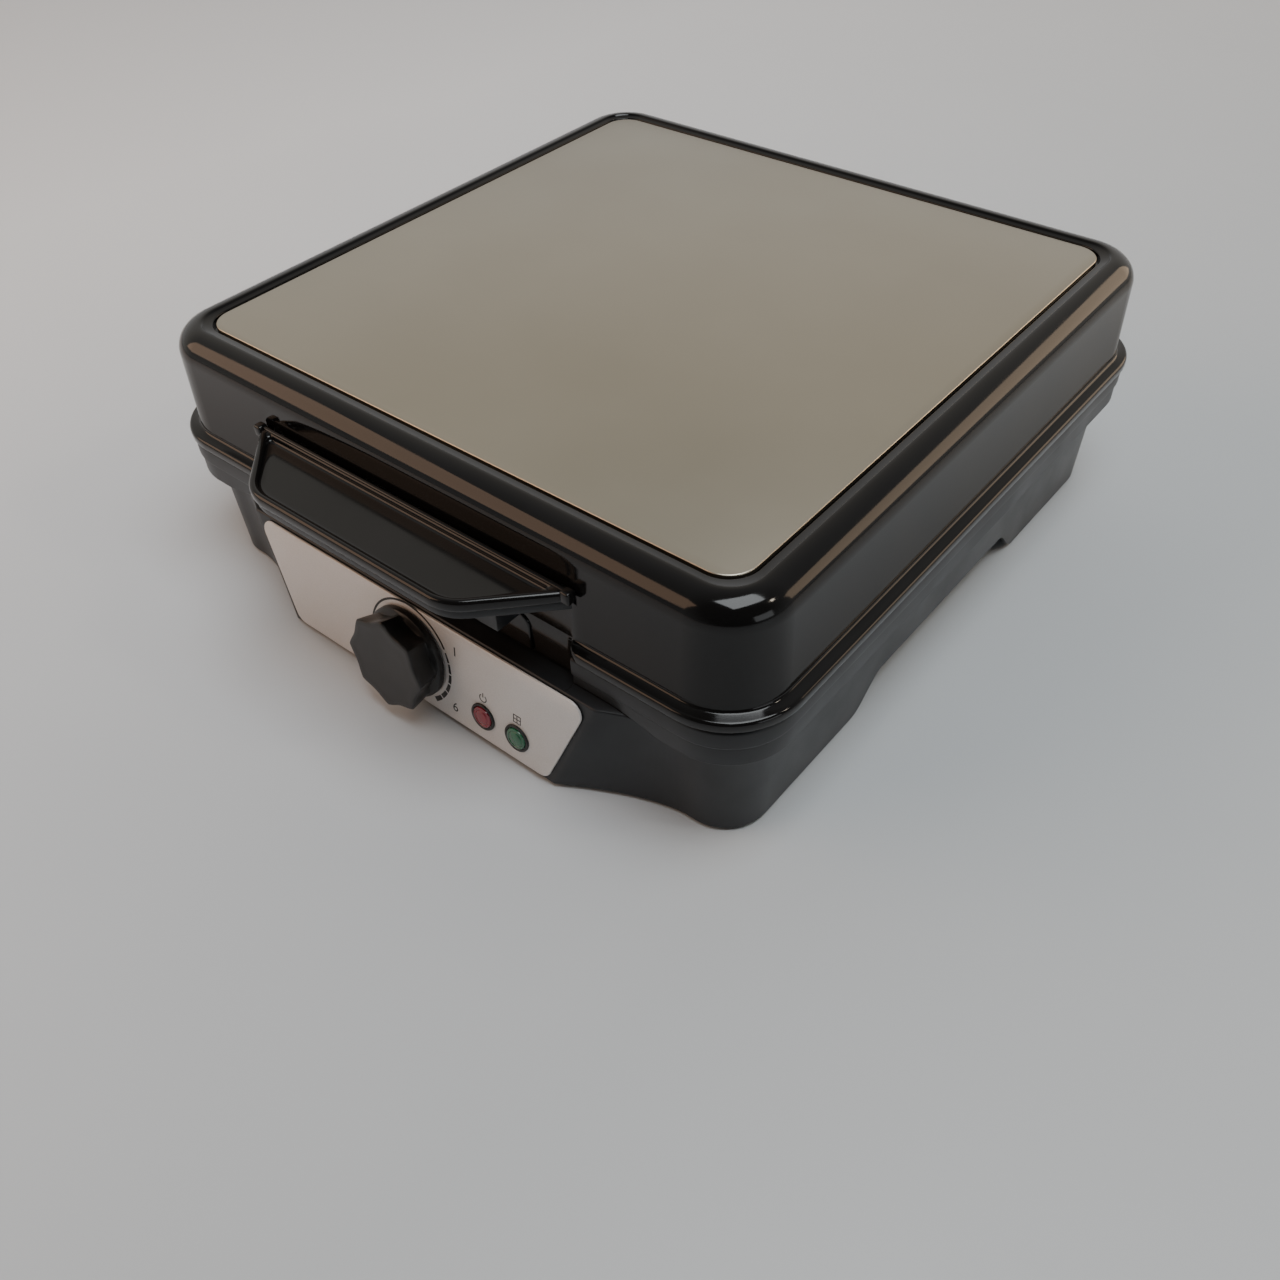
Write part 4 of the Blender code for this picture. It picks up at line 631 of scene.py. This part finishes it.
handle_low, handle_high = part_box("handle_upper")
HANDLE_FRONT_Y = handle_low.y - MIDDLE_Y
HANDLE_BACK_Y = handle_high.y - MIDDLE_Y
HANDLE_BACK_HALF = handle_high.x
HANDLE_FRONT_HALF = 46 * MM
HANDLE_RADIUS = 18 * MM
HANDLE_TOP_Z = handle_high.z
HANDLE_SPLIT_Z = handle_low.z


def handle_outline(inset, back_inset):
    """Plan of the handle: wide at the lid, narrow and rounded in front."""
    lean = (HANDLE_BACK_HALF - HANDLE_FRONT_HALF) / (HANDLE_BACK_Y - HANDLE_FRONT_Y)
    front = HANDLE_FRONT_Y + inset
    back = HANDLE_BACK_Y - back_inset
    narrow = HANDLE_FRONT_HALF - inset * math.hypot(1, lean) + lean * inset
    wide = narrow + lean * (back - front)
    points = [(-wide, back), (-narrow, front), (narrow, front), (wide, back)]
    radius = HANDLE_RADIUS - inset
    return fillet(points, [1.2 * MM, radius, radius, 1.2 * MM], 16)


def make_handle():
    """Upper handle half: a rolled bead round a dished top, a ridge and posts at the lid."""
    bead = 1.55 * MM
    levels = [(0.9 * MM, HANDLE_SPLIT_Z), (0.25 * MM, HANDLE_SPLIT_Z + 0.25 * MM),
              (0, HANDLE_SPLIT_Z + 0.9 * MM)]
    levels += [(bead - x, z) for x, z in arc((0, HANDLE_TOP_Z - bead), bead, 0, 180, 10)]
    levels += [(2 * bead + 0.1 * MM, HANDLE_TOP_Z - bead - 0.35 * MM),
               (2 * bead + 0.8 * MM, HANDLE_TOP_Z - bead - 0.7 * MM),
               (2 * bead + 2.0 * MM, HANDLE_TOP_Z - bead - 0.8 * MM)]
    rings = []
    for inset, z in levels:
        rings.append([Vector((x, y, z)) for x, y in handle_outline(inset, inset * 0.8)])
    grip = loft("handle_moulding", rings, MATERIALS["gloss_black"], sharp_angle=50)
    settle(grip, "lid", "gloss_black", "handle_upper")
    ridge_x = HANDLE_BACK_HALF - 2.2 * MM
    ridge = rounded_block("handle_ridge",
                          (-ridge_x, HANDLE_BACK_Y - 1.9 * MM, HANDLE_TOP_Z - 2 * MM),
                          (ridge_x, HANDLE_BACK_Y - 0.1 * MM, HANDLE_TOP_Z + 0.5 * MM),
                          0.75 * MM, MATERIALS["gloss_black"], 4)
    settle(ridge, "lid", "gloss_black", "handle_upper")
    for side, word in ((-1, "left"), (1, "right")):
        x = side * (HANDLE_BACK_HALF - 1.7 * MM)
        post = rounded_block(f"handle_post_{word}",
                             (x - 1.9 * MM, HANDLE_BACK_Y - 3.4 * MM, HANDLE_SPLIT_Z + 0.6 * MM),
                             (x + 1.9 * MM, HANDLE_BACK_Y + 0.4 * MM, HANDLE_TOP_Z + 1.0 * MM),
                             0.9 * MM, MATERIALS["gloss_black"], 4)
        settle(post, "lid", "gloss_black", "handle_upper")


# ---------------------------------------------------------------- base

def smooth_fade(value):
    return max(value, 0.0) ** 1.5


def console_shape(corner_half, reach, z, half):
    """Front points stand out across the console and fade into the wall beside it."""
    def shape(side, along, point):
        if side != "front":
            return point
        across = abs(along)
        if across <= CONSOLE_TOP_HALF:
            placed = across * corner_half / CONSOLE_TOP_HALF
            out = reach
        else:
            share = (across - CONSOLE_TOP_HALF) / (STRAIGHT - CONSOLE_TOP_HALF)
            placed = corner_half + share * (STRAIGHT - corner_half)
            out = reach * smooth_fade((CONSOLE_FADE_X - placed) / (CONSOLE_FADE_X - corner_half))
        blend = smooth_step((across - CONSOLE_TOP_HALF) / (STRAIGHT - CONSOLE_TOP_HALF))
        height = z + (point.z - z) * blend
        return Vector((math.copysign(placed, along), -half - out, height))
    return shape


def recess_shape(recess_half, recess_z=None):
    """Front points step back behind the lid's apron."""
    def shape(side, along, point):
        if side == "front" and abs(along) <= APRON_HALF + APRON_GAP:
            return Vector((point.x, -recess_half, point.z if recess_z is None else recess_z))
        return point
    return shape


def band_shape(recess_half, above):
    """The flange's lower edge: it rises in front to clear the console's top edge."""
    def shape(side, along, point):
        if side != "front":
            return point
        across = abs(along)
        left = 1 - smooth_step((across - CONSOLE_TOP_HALF) / (STRAIGHT - CONSOLE_TOP_HALF))
        edge_z = BASE_SHOULDER_Z + (CONSOLE_TOP_Z - BASE_SHOULDER_Z) * left
        if across <= APRON_HALF + APRON_GAP:
            return Vector((point.x, -recess_half, edge_z + above - BAND_ABOVE_CONSOLE))
        return Vector((point.x, point.y, max(point.z, edge_z + above)))
    return shape


def arched(half, lift, front):
    """Lower edge of the wall: up over the arches at the sides and the back."""
    rise_rate = BASE_DRAFT / (BASE_SHOULDER_Z - SHELL_BOTTOM_Z)

    def shape(side, along, point):
        if side == "front":
            return front(side, along, point)
        if side == "corner":
            return point
        share = 1 - smooth_step((abs(along) - ARCH_HALF) / ARCH_RAMP)
        rise = (ARCH_Z - SHELL_BOTTOM_Z - lift) * share
        out = half + rise * rise_rate
        spot = {"right": (out, point.y), "left": (-out, point.y), "back": (point.x, out)}[side]
        return Vector((*spot, point.z + rise))
    return shape


def make_base_shell():
    """Moulded tub: deck, flange, sloping underside, drafted wall, console and arches."""
    flange = BASE_FLANGE_HALF
    low = BASE_HALF - BASE_DRAFT
    under = BASE_TOP_Z - BASE_FLANGE_H
    inner = BASE_HALF - WALL
    neck = inner - 2 * MM
    recess = LID_HALF - WALL - APRON_GAP
    slope_run = (CONSOLE_TOP_Z - CONSOLE_BOTTOM_Z) * math.tan(CONSOLE_TILT)
    low_out = CONSOLE_OUT + slope_run + BASE_DRAFT
    edge = 1.2 * MM

    def level(half, z, shape=None):
        return ring(half, BASE_RADIUS + half - BASE_HALF, z, shape)

    rings = [ring(DECK_HALF, DECK_RADIUS, BASE_TOP_Z)]
    for x, z in arc((flange - edge, BASE_TOP_Z - edge), edge, 90, 0, 4):
        rings.append(level(x, z, recess_shape(recess)))
    bead_z = BASE_TOP_Z - BASE_BEAD_H
    band = flange - BASE_BAND_IN
    for x, z in arc((flange - edge, bead_z + edge), edge, 0, -65, 5):
        rings.append(level(x, z, recess_shape(recess)))
    rings.append(level(band, bead_z - 0.1 * MM, recess_shape(recess)))
    turn = 0.6 * MM
    for x, z in arc((band - turn, under + turn), turn, 0, -90, 4):
        rings.append(level(x, z, band_shape(recess, BAND_ABOVE_CONSOLE + z - under)))
    rings.append(level(band - 1.8 * MM, under,
                       band_shape(recess, BAND_ABOVE_CONSOLE - 0.3 * MM)))
    lip = 0.8 * MM
    lip_steps = 4
    for k in range(lip_steps + 1):
        angle = math.pi / 2 * k / lip_steps
        left = 1 - k / lip_steps
        shoulder = BASE_HALF + 0.35 * MM * left
        reach = CONSOLE_OUT - lip * (1 - math.sin(angle)) - (shoulder - BASE_HALF)
        drop = lip * (1 - math.cos(angle))
        rings.append(level(shoulder, BASE_SHOULDER_Z + 0.7 * MM * left,
                           console_shape(CONSOLE_TOP_HALF, reach, CONSOLE_TOP_Z - drop, shoulder)))
    lower_edge = ((0.05 * MM, 0.6 * MM, 0.1 * MM, -0.05 * MM), (-0.5 * MM, 0, -0.2 * MM, 0),
                  (-WALL, 0, -WALL, 0))
    for out, lift, wider, proud in lower_edge:
        front = console_shape(CONSOLE_BOTTOM_HALF + wider, low_out + proud,
                              CONSOLE_BOTTOM_Z + lift, low + out)
        rings.append(level(low + out, SHELL_BOTTOM_Z + lift, arched(low + out, lift, front)))
    rings.append(level(inner, BASE_SHOULDER_Z - WALL, console_shape(
        CONSOLE_TOP_HALF - WALL, CONSOLE_OUT, CONSOLE_TOP_Z - WALL, inner)))
    rings.append(level(neck, BASE_SHOULDER_Z, recess_shape(neck, CONSOLE_TOP_Z - WALL)))
    rings.append(level(neck, BASE_TOP_Z - DECK))
    rings.append(ring(DECK_HALF, DECK_RADIUS, BASE_TOP_Z - DECK))
    shell = loft("base_moulding", rings, MATERIALS["satin_black"], closed=True)
    settle(shell, "base", "satin_black", "base_shell")


# ---------------------------------------------------------------- controls

CONSOLE_TOP = Vector((0, -(BASE_HALF + CONSOLE_OUT), CONSOLE_TOP_Z))
CONSOLE_NORMAL = Vector((0, -math.cos(CONSOLE_TILT), math.sin(CONSOLE_TILT)))
CONSOLE_DOWN = Vector((0, -math.sin(CONSOLE_TILT), -math.cos(CONSOLE_TILT)))
CONSOLE_LENGTH = (CONSOLE_TOP_Z - CONSOLE_BOTTOM_Z) / math.cos(CONSOLE_TILT)
LABEL_FACE = 1.1 * MM
KNOB_DROP = 20.5 * MM
KNOB_R = 17.8 * MM
KNOB_H = 11.8 * MM
KNOB_FLUTES = 8
KNOB_GRIP_R = 18.4 * MM
KNOB_HOLLOW = 1.9 * MM
RING_R = 19.3 * MM
LAMPS = {"power": (35.5 * MM, "red_lens"), "ready": (51.4 * MM, "green_lens")}
LAMP_DROP = 30.9 * MM
LENS_R = 4.2 * MM
SYMBOL_ABOVE = 8.2 * MM        # from a lamp's middle to the middle of its symbol
DIAL_LINE = (-90, 62)          # degrees clockwise from the top
DASHES = 6
DASH_FROM, DASH_PITCH, DASH_LENGTH = 66, 13.5, 11.5
NUMBER_SIZE = 5.6 * MM


def console_frame(x, drop, out=0.0):
    """Local frame on the console's face: X across, Y up the slope, Z out."""
    axes = Matrix((Vector((1, 0, 0)), -CONSOLE_DOWN, CONSOLE_NORMAL)).transposed()
    spot = CONSOLE_TOP + Vector((x, 0, 0)) + CONSOLE_DOWN * drop + CONSOLE_NORMAL * out
    return Matrix.Translation(spot) @ axes.to_4x4()


def make_label():
    """Silver foil plate on the console, with its edge just rolled over."""
    top = CONSOLE_LENGTH / 2 - 0.9 * MM
    bottom = -CONSOLE_LENGTH / 2 + 1.8 * MM
    top_half = CONSOLE_TOP_HALF - 2.6 * MM
    bottom_half = CONSOLE_BOTTOM_HALF - 2.6 * MM
    rings = []
    for inset, out in ((0, 0.3), (0, 0.85), (0.1, 1.02), (0.3, 1.1)):
        i = inset * MM
        points = [(-bottom_half + i, bottom + i), (bottom_half - i, bottom + i),
                  (top_half - i, top - i), (-top_half + i, top - i)]
        outline = fillet(points, [5 * MM - i] * 4, 10)
        rings.append([Vector((x, y, out * MM)) for x, y in outline])
    label = loft("label_plate", rings, MATERIALS["silver_label"], sharp_angle=50)
    put(label, console_frame(0, CONSOLE_LENGTH / 2))
    settle(label, "base", "silver_label", "control_label")


def printed(name, strips, place):
    """Printed marks a hair above the foil; each strip is a list of (left, right) points."""
    bm = bmesh.new()
    low, high = LABEL_FACE - 0.02 * MM, LABEL_FACE + 0.04 * MM
    for strip in strips:
        rows = []
        for a, b in strip:
            rows.append([bm.verts.new((*p, z)) for p, z in ((a, low), (b, low), (b, high), (a, high))])
        for first, second in zip(rows, rows[1:]):
            for i in range(4):
                j = (i + 1) % 4
                bm.faces.new((first[i], first[j], second[j], second[i]))
        bm.faces.new(rows[0])
        bm.faces.new(rows[-1])
    obj = put(mesh_object(name, bm, INK), place)
    settle(obj, "base", "satin_black", "control_label")


def ring_strip(radius, start, end, width_start, width_end=None):
    """A band along an arc, in degrees clockwise from the top; its width may grow."""
    width_end = width_start if width_end is None else width_end
    steps = max(2, int(abs(end - start) / 4))
    strip = []
    for k in range(steps + 1):
        angle = math.radians(90 - (start + (end - start) * k / steps))
        width = width_start + (width_end - width_start) * k / steps
        direction = Vector((math.cos(angle), math.sin(angle)))
        strip.append((direction * radius, direction * (radius + width)))
    return strip


def bar(x, y, half_x, half_y):
    return [(Vector((x - half_x, y - half_y)), Vector((x - half_x, y + half_y))),
            (Vector((x + half_x, y - half_y)), Vector((x + half_x, y + half_y)))]


def make_printing():
    """Dial line that thickens into dashes, plain numbers and two plain lamp symbols."""
    dial = console_frame(0, KNOB_DROP)
    strips = [ring_strip(RING_R, *DIAL_LINE, 0.85 * MM)]
    for k in range(DASHES):
        start = DASH_FROM + k * DASH_PITCH
        strips.append(ring_strip(RING_R - 0.1 * MM, start, start + DASH_LENGTH,
                                 (0.7 + 0.22 * k) * MM, (0.9 + 0.22 * k) * MM))
    printed("dial_marks", strips, dial)
    power = console_frame(LAMPS["power"][0], LAMP_DROP - SYMBOL_ABOVE)
    symbol = [ring_strip(1.35 * MM, 35, 325, 0.4 * MM), bar(0, 1.35 * MM, 0.2 * MM, 0.95 * MM)]
    printed("power_symbol", symbol, power)
    ready = console_frame(LAMPS["ready"][0], LAMP_DROP - SYMBOL_ABOVE)
    symbol = [bar(0, y * MM, 1.75 * MM, 0.17 * MM) for y in (-1.6, 0, 1.6)]
    printed("ready_symbol_rows", symbol, ready)
    symbol = [bar(x * MM, y * MM, 0.17 * MM, 0.63 * MM) for x in (-1.58, 0, 1.58) for y in (-0.8, 0.8)]
    printed("ready_symbol_columns", symbol, ready)
    for text, x, y in (("1", 22.6, 10.8), ("6", 21.6, -14.6)):
        number(text, f"dial_number_{text}", x * MM, y * MM)


def number(text, name, x, y):
    """One printed numeral beside the dial."""
    curve = bpy.data.curves.new(name + "_curve", 'FONT')
    curve.body = text
    curve.size = NUMBER_SIZE
    curve.extrude = 0.03 * MM
    curve.align_x = 'CENTER'
    curve.align_y = 'CENTER'
    guide = bpy.data.objects.new(name + "_guide", curve)
    bpy.context.scene.collection.objects.link(guide)
    bpy.context.view_layer.update()
    evaluated = guide.evaluated_get(bpy.context.evaluated_depsgraph_get())
    mesh = bpy.data.meshes.new_from_object(evaluated)
    bpy.data.objects.remove(guide, do_unlink=True)
    bm = bmesh.new()
    bm.from_mesh(mesh)
    bmesh.ops.remove_doubles(bm, verts=bm.verts, dist=0.002 * MM)
    bmesh.ops.translate(bm, vec=(x, y, LABEL_FACE + 0.01 * MM), verts=bm.verts)
    obj = put(mesh_object(name, bm, INK), console_frame(0, KNOB_DROP))
    settle(obj, "base", "satin_black", "control_label")


def knob_level(height, blend, inset=0.0):
    """A level of the knob: round at blend 0, eight-cornered with hollow sides at 1."""
    steps = 24 * KNOB_FLUTES
    points = []
    for k in range(steps):
        angle = 2 * math.pi * k / steps
        wave = abs(math.sin(angle * KNOB_FLUTES / 2)) ** 1.15
        fluted = KNOB_GRIP_R - KNOB_HOLLOW * wave
        radius = KNOB_R + (fluted - KNOB_R) * blend - inset
        points.append(Vector((radius * math.cos(angle), radius * math.sin(angle), height)))
    return points


def make_knob():
    """Browning knob: round skirt, hollow-sided grip and softly broken edges."""
    base = LABEL_FACE + 0.6 * MM
    top = KNOB_H / MM
    levels = [(0, 0, 0.3), (0.3, 0, 0), (2.0, 0, 0), (2.4, 0, 0.15), (2.7, 0.1, 0.5),
              (3.0, 0.5, 1.25), (3.5, 0.9, 1.5), (4.5, 1, 1.35), (7.0, 1, 0.8),
              (top - 0.9, 1, 0.05), (top - 0.45, 1, 0.1), (top - 0.15, 1, 0.35),
              (top, 1, 0.8), (top - 0.12, 1, 2.4), (top - 0.15, 1, 5)]
    rings = [knob_level(height * MM, blend, inset * MM) for height, blend, inset in levels]
    knob = loft("browning_knob", rings, MATERIALS["knob_black"], sharp_angle=32)
    put(knob, console_frame(0, KNOB_DROP, base))
    settle(knob, "knob", "knob_black", "knob")


def make_lamps():
    """Indicator lamps: a turned bezel and a stepped, domed lens."""
    seat = LABEL_FACE + 0.05 * MM
    for name, (x, slot) in LAMPS.items():
        place = console_frame(x, LAMP_DROP)
        inner = 4.35 * MM
        outer = 5.4 * MM
        barrel = 4.6 * MM
        bezel = [(inner, -8 * MM), (barrel, -8 * MM), (barrel, seat), (outer, seat),
                 (outer, seat + 0.35 * MM)]
        bezel += arc((outer - 0.35 * MM, seat + 0.35 * MM), 0.35 * MM, 20, 90, 3)
        bezel += [(inner + 0.15 * MM, seat + 0.62 * MM), (inner, seat + 0.45 * MM)]
        holder = turned(f"{name}_bezel", bezel, place, MATERIALS["lamp_holder_black"])
        settle(holder, "base", "lamp_holder_black", f"{name}_lamp_holder")
        dome = [(4.2, 0.15), (4.2, 0.55), (4.05, 0.85), (3.75, 0.98), (3.25, 1.02), (3.1, 0.9),
                (2.9, 0.9), (2.75, 1.06), (2.2, 1.16), (1.5, 1.25), (0.7, 1.3)]
        profile = [(0, -4 * MM), (LENS_R, -4 * MM)]
        profile += [(r * MM, seat + z * MM) for r, z in dome]
        profile.append((0, seat + 1.31 * MM))
        cap = turned(f"{name}_lens", profile, place, MATERIALS[slot])
        settle(cap, "base", slot, f"{name}_lamp_lens")


# ---------------------------------------------------------------- refined copies

SLOT_OF = {row["node"]: row["material_slot"] for row in frame["record"]["subparts"]}
BODY_OF = {node: body for body, nodes in frame["record"]["behaviour"]["bodies"].items()
           for node in nodes}


def refined(node, width):
    """A finely bevelled copy of a CAD node, built in its place and standing for it."""
    source = frame["nodes"][node]
    bm = bmesh.new()
    bm.from_mesh(source.data)
    bmesh.ops.transform(bm, matrix=source.matrix_world, verts=bm.verts)
    bmesh.ops.remove_doubles(bm, verts=bm.verts, dist=0.005 * MM)
    bmesh.ops.dissolve_limit(bm, angle_limit=math.radians(1), verts=bm.verts, edges=bm.edges)
    slot = SLOT_OF[node]
    obj = mesh_object(f"{node}_finished", bm, MATERIALS[slot])
    soften_edges(obj, width)
    register(obj, BODY_OF[node], slot, node)


def make_refined_pieces():
    edges = {"lower_waffle_plate": 0.7, "upper_waffle_plate": 0.7, "handle_cover": 0.6,
             "bottom_cover": 0.4}
    for side in ("left", "right"):
        edges[f"hinge_bracket_{side}"] = 0.5
        edges[f"hinge_arm_{side}"] = 0.6
    for node, width in edges.items():
        refined(node, width * MM)


def paint_frame():
    """Gives every CAD node that still shows its finished material."""
    for node, obj in frame["nodes"].items():
        mat = MATERIALS[SLOT_OF[node]]
        if not obj.material_slots:
            obj.data.materials.append(mat)
        for material_slot in obj.material_slots:
            material_slot.material = mat


# ---------------------------------------------------------------- stage

def make_floor():
    bm = bmesh.new()
    bmesh.ops.create_grid(bm, x_segments=1, y_segments=1, size=4.0)
    floor = mesh_object("floor", bm, floor_surface())


def area_light(name, spot, target, size, power, colour):
    data = bpy.data.lights.new(name, 'AREA')
    data.shape = 'RECTANGLE'
    data.size, data.size_y = size
    data.energy = power
    data.color = colour
    light = bpy.data.objects.new(name, data)
    bpy.context.scene.collection.objects.link(light)
    light.location = spot
    direction = Vector(target) - Vector(spot)
    light.rotation_euler = direction.to_track_quat('-Z', 'Y').to_euler()


def make_surroundings():
    """The room: palest low behind on the left, dark high on the camera's side."""
    world = bpy.data.worlds.new("studio")
    bpy.context.scene.world = world
    world.use_nodes = True
    nodes = world.node_tree.nodes
    links = world.node_tree.links
    place = nodes.new("ShaderNodeTexCoord")
    facing = nodes.new("ShaderNodeVectorMath")
    facing.operation = 'DOT_PRODUCT'
    facing.inputs[1].default_value = (-0.56, 0.56, -0.61)
    links.new(place.outputs["Generated"], facing.inputs[0])
    share = nodes.new("ShaderNodeMapRange")
    share.inputs["From Min"].default_value = -1
    links.new(facing.outputs["Value"], share.inputs["Value"])
    ramp = nodes.new("ShaderNodeValToRGB")
    stops = ramp.color_ramp.elements
    stops[0].position = 0.12
    stops[0].color = (0.03, 0.03, 0.03, 1)
    stops[-1].color = (0.62, 0.63, 0.65, 1)
    stops.new(0.42).color = (0.28, 0.28, 0.28, 1)
    stops.new(0.62).color = (0.50, 0.475, 0.43, 1)
    links.new(share.outputs["Result"], ramp.inputs["Fac"])
    links.new(ramp.outputs["Color"], nodes["Background"].inputs["Color"])
    nodes["Background"].inputs["Strength"].default_value = 1.15


def make_lights():
    """A soft box overhead, two large warm lights for the shoulders, a lamp and a dim fill."""
    body = (0, 0, 0.05)
    area_light("soft_box", (0.42, -0.10, 1.55), body, (1.0, 0.8), 16, (0.94, 0.98, 1.0))
    area_light("warm_front_left", (-0.98, -0.98, 0.88), body, (1.3, 0.9), 8.5, (1.0, 0.64, 0.42))
    area_light("warm_back_right", (0.95, 1.36, 0.62), body, (1.3, 0.7), 7.0, (1.0, 0.74, 0.50))
    area_light("lamp_right", (1.33, 0.5, 1.42), body, (0.16, 0.16), 2.2, (1.0, 0.88, 0.72))
    area_light("side_fill", (1.55, -0.25, 0.45), body, (0.7, 0.5), 1.6, (0.94, 0.98, 1.0))


def make_camera():
    """Looks down over the near corner from a little more than two panel widths away."""
    data = bpy.data.cameras.new("camera")
    data.lens = 33.64
    data.sensor_width = 36
    data.clip_start = 0.01
    camera = bpy.data.objects.new("camera", data)
    bpy.context.scene.collection.objects.link(camera)
    heading = math.radians(40.82)
    tilt = math.radians(44.13)
    roll = math.radians(-2.39)
    turn = (Matrix.Rotation(heading, 4, 'Z') @ Matrix.Rotation(math.pi / 2 - tilt, 4, 'X')
            @ Matrix.Rotation(roll, 4, 'Z'))
    middle = Vector((0, MIDDLE_Y, TOP_Z))
    offset = Vector((1.079, -1.342, 0.905)) * (2 * PANEL_HALF)
    camera.matrix_world = Matrix.Translation(middle + offset) @ turn
    bpy.context.scene.camera = camera


paint_frame()
make_lid_shell()
make_apron_pad()
make_panel()
make_handle()
make_base_shell()
make_label()
make_printing()
make_knob()
make_lamps()
make_refined_pieces()
make_floor()
make_surroundings()
make_lights()
make_camera()
